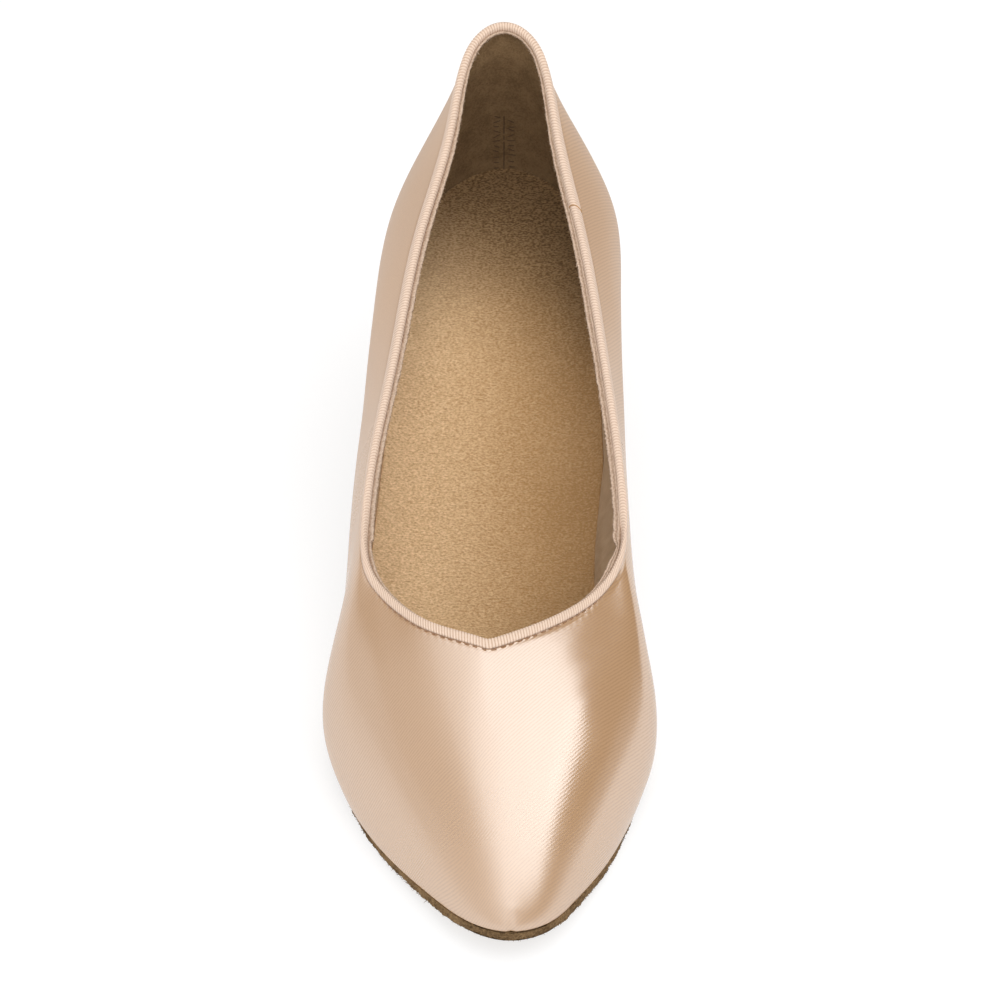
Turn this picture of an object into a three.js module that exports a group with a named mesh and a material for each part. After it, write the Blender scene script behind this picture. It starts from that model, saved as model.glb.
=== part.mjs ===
// A satin court shoe for ballroom dancing, right foot, standing empty on the floor.
// Millimetres, +Z up. The toe points to -Y and the inner (medial) side of the foot is +X.
// The last is described in its own frame first: x across, "along" from the heel's back to the toe, z up.
import * as THREE from "three";

// Driving sizes
const SHOE_LENGTH = 224; // level length of the sole, from the back of the heel to the toe
const GAP = 0.3; // clearance between pieces that are glued or sewn together

// Bottom of the shoe, seen from the side
const SEAT_HEIGHT = 44; // underside of the heel seat above the floor, where the waist meets it
const SEAT_END = 46; // how far forward the straight heel seat reaches
const SEAT_PITCH = 0.14; // rise of the heel seat towards the back, per millimetre
const TREAD_START = 148; // the forefoot lies flat on the floor from here
const TREAD_END = 172; // to here
const TOE_SPRING = 7; // lift of the toe off the floor
const OUTSOLE_THICK = 2.6;
const INSOLE_THICK = 3;
const BREAST = 50; // front of the heel, measured from the back of the shoe

// Upper and its ribbon
const WALL = 1.8; // satin, backing and lining together
const WALL_AT_COLLAR = 0.8; // skived thin where the ribbon folds over it
const SKIVE_START = 3; // depth below the collar where the skived edge begins to thicken
const SKIVE_END = 10; // and where the wall has its whole thickness
const RIBBON_THICK = 0.4;
const RIBBON_SLACK = 0.4; // room left between the folded ribbon and the wall
const RIBBON_DEPTH = 2.4; // how far the folded ribbon reaches down each face of the wall

// Heel block: a covered two-inch heel that narrows to a stem and flares at the floor
const TOP_PIECE_THICK = 5;
const STEM = { half: 10.4, back: 9, front: 31 };
const TREAD = { half: 12.6, back: 6.5, front: 33.5 };
const SEAT_TAPER = 2.6; // how fast the seat's outline shrinks to the stem
const TREAD_FLARE = 3; // how late the stem opens out to the tread
const HEEL_SQUARENESS = 0.78; // under 1 makes the heel's round back fuller than an ellipse
const BREAST_HOLLOW = 2.5; // depth of the hollow down the front of the heel

// How far each kind of sole edge stands outside the foot of the upper
const EDGE_AT_TOE = 0.3;
const EDGE_AT_WAIST = -1.4;
const EDGE_TURN_START = 150;
const EDGE_TURN_END = 215;

// Fineness of the meshes
const STEPS_ROUND = 108; // round the shoe
const STEPS_UP = 12; // from the sole up to the collar
const RUNGS = 44; // along each sole
const FIRST_RUNG = 2.2; // how far round from the toe, or from the back, the first rung stands
const RUNG_EASE = 0.35; // share by which rungs close up towards the ends
const STEPS_ACROSS = 6; // across each sole
const HEEL_RING = 30; // round the back of the heel
const ARC_OVER = [0, 60, 120, 180]; // degrees over the collar along the ribbon's outer face
const ARC_UNDER = [180, 90, 0]; // and back along its inner face
const BREAST_STEPS = 6; // across the heel's breast
const HEEL_ROWS = 12; // down the heel
const HALVINGS = 40; // steps of a search by halving
const INSOLE_SEARCH = 0.4; // share of the wall's height that holds the insole's edge

// Sections of the last. Each row is the wall of the upper at one place, as one curve from the sole to the collar:
// along, edge: where its foot stands, and the half width there
// swell, rise: how far the wall heads outwards and up as it leaves the sole
// collarAlong, collarHalf, collarHeight: where it ends at the collar
// lean, bow, drop: how it leaves the collar again, as a share of the level way to its foot, as a distance
//   straight outwards, and as a fall
const COLUMNS = [
  "along", "edge", "swell", "rise", "collarAlong", "collarHalf", "collarHeight", "lean", "bow", "drop",
];
const BACK_SEAM = [2.5, 0, 2.5, 18, 6, 0, 104.2, 0, 3.5, 18];
const LATERAL = [
  [9, 14, 2.5, 17, 10.5, 8.5, 100.4, 0, 3.5, 17],
  [27, 23.5, 7.2, 15, 25, 13.3, 87.5, 0, 10.6, 14],
  [55, 27, 8, 14, 50, 20.6, 75, 0, 12, 12],
  [85, 29.3, 9, 13, 80, 26.7, 62, 0, 8.4, 10],
  [114, 33.6, 7.8, 12, 105.3, 32, 50.3, 0.4, 4.2, 10],
  [138, 38, 5, 11.8, 121.3, 33.8, 41.3, 0.69, 2.2, 11.1],
  [157, 41.3, 5.3, 11.6, 130.2, 32.8, 38, 0.85, 1.6, 9.8],
  [177, 36.5, 3.4, 12.3, 138.4, 29, 37.4, 0.79, 0.8, 7.3],
  [195, 26.6, 1.4, 12.2, 147.1, 22.7, 38.6, 0.68, 0.2, 5.6],
  [209, 16, 1.6, 10.8, 153.7, 14.5, 39.9, 0.53, -1.2, 4],
  [217.5, 8, 0.9, 8.4, 157.4, 6.5, 40.4, 0.43, 0.8, 3.8],
];
const TOE_TIP = [221.2, 1.2, 1, 5.9, 158.4, -3.7, 40.4, 0.5, 0, 5.4];
const MEDIAL = [
  [9, 14, 2.5, 17, 10.5, 8.5, 100.4, 0, 3.5, 17],
  [27, 23.4, 8, 15, 25, 13, 87.5, 0, 11, 14],
  [55, 24.2, 8.6, 14, 50, 18.9, 75, 0, 10.5, 12],
  [85, 24, 8.6, 13, 80, 24.3, 62, 0, 5.4, 10],
  [114, 26, 6.6, 12, 105.3, 28, 50.3, 0.4, 3.2, 10],
  [142, 30.2, 5.4, 12.4, 121.3, 29, 41.3, 0.68, 2.4, 11.6],
  [164, 34.2, 5.3, 13.7, 130.2, 27, 38, 0.86, 1.6, 9.8],
  [182, 29.9, 3.6, 15.2, 138.4, 22.5, 37.4, 0.82, 0.5, 7.6],
  [198, 23.2, 1.6, 14.6, 146.4, 15.5, 38.5, 0.68, -0.4, 4.9],
  [210, 16.2, 1.5, 11, 153.2, 7, 39.9, 0.58, -1.4, 4],
  [217.8, 10.2, 0.5, 8, 157.1, 0, 40.4, 0.53, -1.3, 4.6],
];

const smooth = (from, to, value) => THREE.MathUtils.smoothstep(value, from, to);
const flat = (v) => new THREE.Vector3(v.x, v.y, 0);
const UP = new THREE.Vector3(0, 0, 1);

// Height of the outsole's underside above the floor: toe spring, flat tread, waist and heel seat in turn.
function undersideHeight(along) {
  if (along > TREAD_END) return TOE_SPRING * ((along - TREAD_END) / (SHOE_LENGTH - TREAD_END)) ** 2;
  if (along > TREAD_START) return 0;
  if (along < SEAT_END) return SEAT_HEIGHT + SEAT_PITCH * (SEAT_END - along);
  const waist = TREAD_START - SEAT_END;
  const u = (TREAD_START - along) / waist;
  return SEAT_HEIGHT * (3 * u ** 2 - 2 * u ** 3) + SEAT_PITCH * waist * (u ** 3 - u ** 2);
}

const seatHeight = (along) => undersideHeight(along) + OUTSOLE_THICK; // top of the outsole and of the heel block
const footHeight = (along) => seatHeight(along) + GAP; // where the upper and the insole stand

// A closed cubic spline with continuous curvature through points at the given knots.
function closedSpline(knots, period, points) {
  const n = knots.length;
  const span = knots.map((k, i) => (i + 1 < n ? knots[i + 1] : period + knots[0]) - k);
  const rows = points.map((p, i) => {
    const before = (i + n - 1) % n;
    const after = (i + 1) % n;
    const row = new Array(n).fill(0);
    row[before] += span[before];
    row[i] += 2 * (span[before] + span[i]);
    row[after] += span[i];
    const ahead = points[after].clone().sub(p).divideScalar(span[i]);
    const behind = p.clone().sub(points[before]).divideScalar(span[before]);
    return { row, value: ahead.sub(behind).multiplyScalar(6) };
  });
  for (let i = 0; i < n; i++) {
    for (let k = 0; k < n; k++) {
      if (k === i) continue;
      const factor = rows[k].row[i] / rows[i].row[i];
      rows[k].row = rows[k].row.map((cell, c) => cell - factor * rows[i].row[c]);
      rows[k].value.addScaledVector(rows[i].value, -factor);
    }
  }
  const bend = rows.map((r, i) => r.value.divideScalar(r.row[i]));
  return (t) => {
    const at = THREE.MathUtils.euclideanModulo(t - knots[0], period) + knots[0];
    const i = knots.findLastIndex((k) => k <= at);
    const after = (i + 1) % n;
    const a = (knots[i] + span[i] - at) / span[i];
    const b = 1 - a;
    const curl = span[i] ** 2 / 6;
    return new THREE.Vector3()
      .addScaledVector(points[i], a)
      .addScaledVector(points[after], b)
      .addScaledVector(bend[i], (a ** 3 - a) * curl)
      .addScaledVector(bend[after], (b ** 3 - b) * curl);
  };
}

// The sections in order round the shoe: back seam, lateral side, toe, medial side.
const named = (row) => Object.fromEntries(COLUMNS.map((column, i) => [column, row[i]]));
const onLateralSide = (row) => ({ ...row, edge: -row.edge, collarHalf: -row.collarHalf });
const sections = [
  named(BACK_SEAM),
  ...LATERAL.map(named).map(onLateralSide),
  named(TOE_TIP),
  ...MEDIAL.map(named).reverse(),
];
const TOE_SECTION = LATERAL.length + 1;

const feet = sections.map((s) => new THREE.Vector3(s.edge, -s.along, footHeight(s.along)));
const collars = sections.map((s) => new THREE.Vector3(s.collarHalf, -s.collarAlong, s.collarHeight));

const knots = [0];
feet.forEach((foot, i) => knots.push(knots[i] + foot.distanceTo(feet[(i + 1) % feet.length])));
const AROUND = knots.pop(); // the distance round the foot of the upper
const TOE = knots[TOE_SECTION];
const footLine = closedSpline(knots, AROUND, feet);

// Level direction pointing out of the shoe at a place round the foot of the upper.
function outwards(t) {
  const step = 0.5;
  const ahead = flat(footLine(t + step).sub(footLine(t - step)));
  return ahead.cross(UP).normalize();
}

const lowHandles = sections.map((s, i) =>
  feet[i].clone().addScaledVector(outwards(knots[i]), s.swell).addScaledVector(UP, s.rise),
);
const highHandles = sections.map((s, i) =>
  collars[i]
    .clone()
    .addScaledVector(flat(feet[i].clone().sub(collars[i])), s.lean)
    .addScaledVector(outwards(knots[i]), s.bow)
    .addScaledVector(UP, -s.drop),
);
const lowLine = closedSpline(knots, AROUND, lowHandles);
const highLine = closedSpline(knots, AROUND, highHandles);
const collarLine = closedSpline(knots, AROUND, collars);

// A point on the outside of the upper: t runs round the shoe, w from 0 at the sole to 1 at the collar.
function outside(t, w) {
  const v = 1 - w;
  return new THREE.Vector3()
    .addScaledVector(footLine(t), v ** 3)
    .addScaledVector(lowLine(t), 3 * w * v ** 2)
    .addScaledVector(highLine(t), 3 * w ** 2 * v)
    .addScaledVector(collarLine(t), w ** 3);
}

function outsideNormal(t, w) {
  const stepRound = 0.3;
  const stepUp = 0.002;
  const round = outside(t + stepRound, w).sub(outside(t - stepRound, w));
  const up = outside(t, Math.min(1, w + stepUp)).sub(outside(t, Math.max(0, w - stepUp)));
  return round.cross(up).normalize();
}

// Length of wall per unit of w beside the collar, and the depth of a point below the collar that follows from it.
const paceAtCollar = (t) => 3 * collarLine(t).distanceTo(highLine(t));
const depthBelowCollar = (t, w) => (1 - w) * paceAtCollar(t);

function wallThickness(t, w) {
  const whole = smooth(SKIVE_START, SKIVE_END, depthBelowCollar(t, w));
  return THREE.MathUtils.lerp(WALL_AT_COLLAR, WALL, whole);
}

// A point off the wall: distance 0 is the outside face, and a negative distance lies inside the shoe.
const offWall = (t, w, distance) => outside(t, w).addScaledVector(outsideNormal(t, w), distance);
const inside = (t, w) => offWall(t, w, -wallThickness(t, w));

// Joins quads into one closed mesh geometry.
class Skin {
  points = [];
  faces = [];

  row(points) {
    return points.map((p) => this.points.push(p.x, p.y, p.z) / 3 - 1);
  }

  // Fills the strip between two rows of equal length, seen from outside with the second row above the first.
  strip(low, high, closed = false) {
    const last = closed ? low.length : low.length - 1;
    for (let i = 0; i < last; i++) {
      const next = (i + 1) % low.length;
      this.faces.push(low[i], low[next], high[next], low[i], high[next], high[i]);
    }
  }

  // Closes a ring of points with a fan about its middle.
  fan(ring, middle) {
    const [centre] = this.row([middle]);
    ring.forEach((p, i) => this.faces.push(centre, p, ring[(i + 1) % ring.length]));
  }

  geometry() {
    const made = new THREE.BufferGeometry();
    made.setAttribute("position", new THREE.Float32BufferAttribute(this.points, 3));
    made.setIndex(this.faces);
    made.computeVertexNormals();
    return made;
  }
}

const range = (count, of) => Array.from({ length: count }, (_, i) => of(i));
const placesRound = range(STEPS_ROUND, (i) => (i / STEPS_ROUND) * AROUND);

// Upper: one hollow wall, open at the collar and underneath. Its last row of quads is the skived edge.
function placeUp(t, step) {
  const skive = 1 - SKIVE_START / paceAtCollar(t);
  return step === STEPS_UP ? 1 : (skive * step) / (STEPS_UP - 1);
}

function upperGeometry() {
  const skin = new Skin();
  const rowOf = (face, j) => skin.row(placesRound.map((t) => face(t, placeUp(t, j))));
  const outer = range(STEPS_UP + 1, (j) => rowOf(outside, j));
  const inner = range(STEPS_UP + 1, (j) => rowOf(inside, j));
  for (let j = 0; j < STEPS_UP; j++) {
    skin.strip(outer[j], outer[j + 1], true);
    skin.strip(inner[j + 1], inner[j], true);
  }
  skin.strip(inner[0], outer[0], true);
  skin.strip(outer[STEPS_UP], inner[STEPS_UP], true);
  return skin.geometry();
}

// Ribbon: a U-shaped fold over the collar. Each section runs up the outside, over the edge and down the inside,
// then back along the ribbon's own inner face.
function ribbonSection(t) {
  const low = 1 - RIBBON_DEPTH / paceAtCollar(t);
  const halfWall = WALL_AT_COLLAR / 2;
  const middle = -halfWall;
  const under = halfWall + RIBBON_SLACK;
  const over = under + RIBBON_THICK;
  const normal = outsideNormal(t, 1);
  const climb = outside(t, 1).sub(outside(t, low)).normalize();
  const crown = offWall(t, 1, middle);
  const leg = (w, side, reach) => offWall(t, w, middle + side * reach);
  const arc = (degrees, reach) => {
    const angle = THREE.MathUtils.degToRad(degrees);
    return crown
      .clone()
      .addScaledVector(normal, reach * Math.cos(angle))
      .addScaledVector(climb, reach * Math.sin(angle));
  };
  return [
    leg(low, 1, over),
    ...ARC_OVER.map((degrees) => arc(degrees, over)),
    leg(low, -1, over),
    leg(low, -1, under),
    ...ARC_UNDER.map((degrees) => arc(degrees, under)),
    leg(low, 1, under),
  ];
}

function ribbonGeometry() {
  const skin = new Skin();
  const rings = placesRound.map((t) => skin.row(ribbonSection(t)));
  rings.forEach((ring, i) => skin.strip(rings[(i + 1) % rings.length], ring, true));
  return skin.geometry();
}

// Where a value that rises with its variable passes zero, found by halving.
function crossing(from, to, value) {
  let [low, high] = [from, to];
  for (let i = 0; i < HALVINGS; i++) {
    const middle = (low + high) / 2;
    if (value(middle) < 0) low = middle;
    else high = middle;
  }
  return (low + high) / 2;
}

// Places on the lateral and medial side whose edge stands at a given distance along.
const lateralPlace = (along, edge) => crossing(0, TOE, (t) => -edge(t).y - along);
const medialPlace = (along, edge) => crossing(TOE, AROUND, (t) => along + edge(t).y);

// Pairs of places that face each other across a sole, closer together where the outline turns round the toe or heel.
function rungs(lateralEnd, medialEnd) {
  return range(RUNGS, (i) => {
    const even = i / (RUNGS - 1);
    const share = even - (RUNG_EASE * Math.sin(2 * Math.PI * even)) / (2 * Math.PI);
    const lateral = THREE.MathUtils.lerp(TOE - FIRST_RUNG, lateralEnd, share);
    const medial = THREE.MathUtils.lerp(TOE + FIRST_RUNG, medialEnd, share);
    return [lateral, medial];
  });
}

// A plate between two outlines. Its rungs cross the shoe, and every point takes its height from its own place along.
function plateGeometry(pairs, topEdge, topHeight, lowEdge, lowHeight) {
  const skin = new Skin();
  const rung = ([lateral, medial], edge, height) => {
    const from = edge(lateral);
    const to = edge(medial);
    return range(STEPS_ACROSS + 1, (k) => {
      const p = from.clone().lerp(to, k / STEPS_ACROSS);
      return p.setZ(height(-p.y));
    });
  };
  const top = pairs.map((pair) => skin.row(rung(pair, topEdge, topHeight)));
  const low = pairs.map((pair) => skin.row(rung(pair, lowEdge, lowHeight)));
  for (let i = 0; i + 1 < pairs.length; i++) {
    skin.strip(top[i], top[i + 1]);
    skin.strip(low[i + 1], low[i]);
  }
  const border = (rows) => [
    ...rows[0],
    ...rows.slice(1).map((r) => r.at(-1)),
    ...rows.at(-1).slice(0, -1).reverse(),
    ...rows.slice(1, -1).map((r) => r[0]).reverse(),
  ];
  skin.strip(border(low), border(top), true);
  return skin.geometry();
}

// Outsole: from the toe to the breast of the heel, proud of the upper at the toe and drawn in under the waist.
function soleEdge(t) {
  const foot = footLine(t);
  const toeward = smooth(EDGE_TURN_START, EDGE_TURN_END, -foot.y);
  const reach = THREE.MathUtils.lerp(EDGE_AT_WAIST, EDGE_AT_TOE, toeward);
  return foot.addScaledVector(outwards(t), reach);
}

function outsoleGeometry() {
  const end = BREAST + GAP;
  const pairs = rungs(lateralPlace(end, soleEdge), medialPlace(end, soleEdge));
  return plateGeometry(pairs, soleEdge, seatHeight, soleEdge, undersideHeight);
}

// Insole: lies inside the wall, and its edge follows the wall's slope.
function insoleGeometry() {
  const clear = WALL + GAP;
  const lowEdge = (t) => footLine(t).addScaledVector(outwards(t), -clear / flat(outsideNormal(t, 0)).length());
  const topHeight = (along) => footHeight(along) + INSOLE_THICK;
  const aboveTop = (p) => p.z - topHeight(-p.y);
  const topEdge = (t) => {
    const w = crossing(0, INSOLE_SEARCH, (step) => aboveTop(offWall(t, step, -clear)));
    return offWall(t, w, -clear);
  };
  const pairs = rungs(FIRST_RUNG, AROUND - FIRST_RUNG);
  return plateGeometry(pairs, topEdge, topHeight, lowEdge, footHeight);
}

// Heel block. Its ring of points runs from the lateral breast corner round the back to the medial corner,
// then straight across the breast. A level section is a D with a hollow front.
function heelSection({ half, back, front }, hollow) {
  const round = range(HEEL_RING + 1, (i) => {
    const angle = (Math.PI * i) / HEEL_RING;
    const across = Math.sign(Math.cos(angle)) * Math.abs(Math.cos(angle)) ** HEEL_SQUARENESS;
    const depth = Math.sin(angle) ** HEEL_SQUARENESS;
    return new THREE.Vector3(-half * across, -(front - (front - back) * depth), 0);
  });
  return [...round, ...breastPoints(round.at(-1), round[0], hollow)];
}

function breastPoints(from, to, hollow) {
  return range(BREAST_STEPS - 1, (i) => {
    const share = (i + 1) / BREAST_STEPS;
    const p = from.clone().lerp(to, share);
    p.y += hollow * Math.sin(Math.PI * share);
    return p;
  });
}

function heelSeat() {
  const from = lateralPlace(BREAST, footLine);
  const to = medialPlace(BREAST, footLine) - AROUND;
  const round = range(HEEL_RING + 1, (i) => flat(footLine(from + ((to - from) * i) / HEEL_RING)));
  return [...round, ...breastPoints(round.at(-1), round[0], 0)];
}

// From seat to floor the outline shrinks to the stem and then opens out to the tread.
function heelGeometry() {
  const seat = heelSeat();
  const stem = heelSection(STEM, BREAST_HOLLOW);
  const tread = heelSection(TREAD, 0);
  const foot = TOP_PIECE_THICK + GAP;
  const skin = new Skin();
  const rows = range(HEEL_ROWS + 1, (j) => {
    const down = j / HEEL_ROWS;
    const ofSeat = (1 - down) ** SEAT_TAPER;
    const ofTread = down ** TREAD_FLARE;
    return skin.row(
      seat.map((p, i) => {
        const q = stem[i].clone();
        q.addScaledVector(p.clone().sub(stem[i]), ofSeat);
        q.addScaledVector(tread[i].clone().sub(stem[i]), ofTread);
        return q.setZ(THREE.MathUtils.lerp(seatHeight(-p.y), foot, down));
      }),
    );
  });
  for (let j = 0; j < HEEL_ROWS; j++) skin.strip(rows[j], rows[j + 1], true);
  const middle = (STEM.back + STEM.front) / 2;
  skin.fan([...rows[0]].reverse(), new THREE.Vector3(0, -middle, seatHeight(middle)));
  skin.fan(rows[HEEL_ROWS], new THREE.Vector3(0, -middle, foot));
  return skin.geometry();
}

// Top piece: the flat tread of the heel.
function topPieceGeometry() {
  const skin = new Skin();
  const ring = heelSection(TREAD, 0);
  const high = skin.row(ring.map((p) => p.clone().setZ(TOP_PIECE_THICK)));
  const low = skin.row(ring.map((p) => p.clone().setZ(0)));
  const middle = (TREAD.back + TREAD.front) / 2;
  skin.strip(high, low, true);
  skin.fan([...high].reverse(), new THREE.Vector3(0, -middle, TOP_PIECE_THICK));
  skin.fan(low, new THREE.Vector3(0, -middle, 0));
  return skin.geometry();
}

// Finishes
const finish = (color, roughness) => new THREE.MeshStandardMaterial({ color, roughness, metalness: 0 });
const satin = finish("#d9b699", 0.35);
const ribbon = finish("#e6cdbb", 0.7);
const sockSuede = finish("#b8935f", 0.95);
const soleSuede = finish("#6f5a40", 0.95);
const treadRubber = finish("#4a3d30", 0.8);

// Assembly
const pieces = [
  ["upper", upperGeometry(), satin],
  ["topline_binding", ribbonGeometry(), ribbon],
  ["insole", insoleGeometry(), sockSuede],
  ["outsole", outsoleGeometry(), soleSuede],
  ["heel", heelGeometry(), satin],
  ["top_piece", topPieceGeometry(), treadRubber],
];
const last = new THREE.Group();
for (const [name, geometry, material] of pieces) {
  const mesh = new THREE.Mesh(geometry, material);
  mesh.name = name;
  last.add(mesh);
}

// The shoe stands over the middle of its own outline.
const shoe = new THREE.Group();
shoe.add(last);
const outline = new THREE.Box3().setFromObject(last);
const centre = outline.getCenter(new THREE.Vector3());
last.position.set(-centre.x, -centre.y, 0);

export default shoe;
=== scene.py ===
# %% [markdown]
# # A satin ballroom shoe
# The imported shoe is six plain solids: an upper, its ribbon, an insole, an outsole, a heel block and a top
# piece. This lesson dresses them. Every cover is worked out with numpy from the same sections of the last
# that the solids have, so it lies exactly where its solid is, and each gets the finish of the real material.

import bpy
import numpy as np
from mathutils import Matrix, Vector


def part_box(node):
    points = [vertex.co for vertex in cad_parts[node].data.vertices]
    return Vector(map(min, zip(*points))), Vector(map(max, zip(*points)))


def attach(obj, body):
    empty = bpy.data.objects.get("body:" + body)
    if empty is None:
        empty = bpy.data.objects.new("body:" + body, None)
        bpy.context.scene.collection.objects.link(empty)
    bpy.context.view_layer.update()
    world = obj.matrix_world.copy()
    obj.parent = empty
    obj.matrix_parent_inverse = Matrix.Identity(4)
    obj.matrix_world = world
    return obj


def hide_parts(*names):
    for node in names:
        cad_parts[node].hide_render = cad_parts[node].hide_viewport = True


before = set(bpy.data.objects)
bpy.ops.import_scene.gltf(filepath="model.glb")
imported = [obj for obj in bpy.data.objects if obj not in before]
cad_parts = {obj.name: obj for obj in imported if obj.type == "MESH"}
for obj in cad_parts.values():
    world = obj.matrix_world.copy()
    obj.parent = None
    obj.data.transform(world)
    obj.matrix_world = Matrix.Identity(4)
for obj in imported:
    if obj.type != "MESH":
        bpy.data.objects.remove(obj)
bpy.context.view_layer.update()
random = np.random.default_rng(20)
print("solids:", ", ".join(sorted(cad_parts)))

# %% [markdown]
# ## The last
# A shoe is built round a last, a block with the shape of the foot. Here the last is a short table: each row
# is one section of the wall, from the sole up to the collar. A subdivision cage would do as well, but a table
# keeps the heel height, the ball width and the pointed toe as plain numbers that can be read and changed.

# %% Sizes of the last, in millimetres
SHOE_LENGTH = 224
GAP = 0.3
SEAT_HEIGHT = 44
SEAT_END = 46
SEAT_PITCH = 0.14
TREAD_START = 148
TREAD_END = 172
TOE_SPRING = 7
OUTSOLE_THICK = 2.6
INSOLE_THICK = 3
BREAST = 50
WALL = 1.8
WALL_AT_COLLAR = 0.8
SKIVE_START = 3
SKIVE_END = 10

# Columns: along and half width of the foot of the wall, swell and rise of the wall as it leaves the sole,
# along, half width and height of the collar, then lean, bow and drop of the wall as it leaves the collar.
BACK_SEAM = [2.5, 0, 2.5, 18, 6, 0, 104.2, 0, 3.5, 18]
LATERAL = [
    [9, 14, 2.5, 17, 10.5, 8.5, 100.4, 0, 3.5, 17],
    [27, 23.5, 7.2, 15, 25, 13.3, 87.5, 0, 10.6, 14],
    [55, 27, 8, 14, 50, 20.6, 75, 0, 12, 12],
    [85, 29.3, 9, 13, 80, 26.7, 62, 0, 8.4, 10],
    [114, 33.6, 7.8, 12, 105.3, 32, 50.3, 0.4, 4.2, 10],
    [138, 38, 5, 11.8, 121.3, 33.8, 41.3, 0.69, 2.2, 11.1],
    [157, 41.3, 5.3, 11.6, 130.2, 32.8, 38, 0.85, 1.6, 9.8],
    [177, 36.5, 3.4, 12.3, 138.4, 29, 37.4, 0.79, 0.8, 7.3],
    [195, 26.6, 1.4, 12.2, 147.1, 22.7, 38.6, 0.68, 0.2, 5.6],
    [209, 16, 1.6, 10.8, 153.7, 14.5, 39.9, 0.53, -1.2, 4],
    [217.5, 8, 0.9, 8.4, 157.4, 6.5, 40.4, 0.43, 0.8, 3.8],
]
TOE_TIP = [221.2, 1.2, 1, 5.9, 158.4, -3.7, 40.4, 0.5, 0, 5.4]
MEDIAL = [
    [9, 14, 2.5, 17, 10.5, 8.5, 100.4, 0, 3.5, 17],
    [27, 23.4, 8, 15, 25, 13, 87.5, 0, 11, 14],
    [55, 24.2, 8.6, 14, 50, 18.9, 75, 0, 10.5, 12],
    [85, 24, 8.6, 13, 80, 24.3, 62, 0, 5.4, 10],
    [114, 26, 6.6, 12, 105.3, 28, 50.3, 0.4, 3.2, 10],
    [142, 30.2, 5.4, 12.4, 121.3, 29, 41.3, 0.68, 2.4, 11.6],
    [164, 34.2, 5.3, 13.7, 130.2, 27, 38, 0.86, 1.6, 9.8],
    [182, 29.9, 3.6, 15.2, 138.4, 22.5, 37.4, 0.82, 0.5, 7.6],
    [198, 23.2, 1.6, 14.6, 146.4, 15.5, 38.5, 0.68, -0.4, 4.9],
    [210, 16.2, 1.5, 11, 153.2, 7, 39.9, 0.58, -1.4, 4],
    [217.8, 10.2, 0.5, 8, 157.1, 0, 40.4, 0.53, -1.3, 4.6],
]
print(f"last: {SHOE_LENGTH} mm long, {SEAT_HEIGHT} mm under the heel seat, {len(LATERAL) * 2 + 2} sections")

# %% Small helpers for arrays of points
UP = np.array([0.0, 0.0, 1.0])
LEVEL = np.array([1.0, 1.0, 0.0])


def smooth(low, high, value):
    """Rises from 0 at low to 1 at high along three times the share squared minus twice the share cubed."""
    share = np.clip((value - low) / (high - low), 0, 1)
    return share * share * (3 - 2 * share)


def lerp(first, second, share):
    """The straight blend from first to second."""
    return first + (second - first) * share


def size_of(vectors):
    """Length of each vector, kept as a last axis of one."""
    return np.linalg.norm(vectors, axis=-1, keepdims=True)


def unit(vectors):
    """Each vector divided by its own length."""
    return vectors / size_of(vectors)


def hump(value, centre, width):
    """A bell: e to the minus square of the distance from the centre over the width."""
    return np.exp(-(((value - centre) / width) ** 2))


def run_along(points):
    """Distance from the first point along a path, summed over its straight steps."""
    return np.append(0, np.cumsum(size_of(np.diff(points, axis=0))))


print("half way up a smooth step:", smooth(0, 1, np.array(0.5)))


# %% The bottom line of the shoe, seen from the side
def underside_height(along):
    """Height of the outsole's underside above the floor.

    The toe springs up as a parabola, the tread is flat, the waist is a cubic that leaves the tread level and
    meets the heel seat at its pitch, and the seat is a straight ramp.
    """
    spring = TOE_SPRING * (np.maximum(along - TREAD_END, 0) / (SHOE_LENGTH - TREAD_END)) ** 2
    waist = TREAD_START - SEAT_END
    u = np.clip((TREAD_START - along) / waist, 0, 1)
    climb = SEAT_HEIGHT * (3 * u**2 - 2 * u**3) + SEAT_PITCH * waist * (u**3 - u**2)
    return spring + climb + SEAT_PITCH * np.maximum(SEAT_END - along, 0)


def seat_height(along):
    """Top of the outsole and of the heel block."""
    return underside_height(along) + OUTSOLE_THICK


def foot_height(along):
    """Where the upper and the insole stand, a small gap above the sole."""
    return seat_height(along) + GAP


breast_rise = seat_height(np.array(BREAST))
toe_rise = underside_height(np.array(SHOE_LENGTH))
print(f"heel seat at {breast_rise:.1f} mm, toe at {toe_rise:.1f} mm")


# %% A closed spline through the sections
def closed_spline(knots, period, points):
    """Returns a curve through the points that closes on itself with continuous curvature.

    Between two knots it is the straight blend of their points plus, for each end, that end's second
    derivative times the share cubed minus the share, times the span squared over six. One cyclic linear
    system gives the derivatives.
    """
    count = len(knots)
    place = np.arange(count)
    span = np.diff(np.append(knots, period))
    before = np.roll(span, 1)
    slope = (np.roll(points, -1, axis=0) - points) / span[:, None]
    system = np.diag(2 * (span + before))
    system[place, place - 1] += before
    system[place, (place + 1) % count] += span
    bend = np.linalg.solve(system, 6 * (slope - np.roll(slope, 1, axis=0)))

    def curve(t):
        """Points of the curve at the places t, which wrap round the period."""
        t = np.mod(t, period)
        i = np.searchsorted(knots, t, side="right") - 1
        j = (i + 1) % count
        b = ((t - knots[i]) / span[i])[..., None]
        a = 1 - b
        curl = (span[i] ** 2 / 6)[..., None]
        return a * points[i] + b * points[j] + ((a**3 - a) * bend[i] + (b**3 - b) * bend[j]) * curl

    return curve


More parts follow.
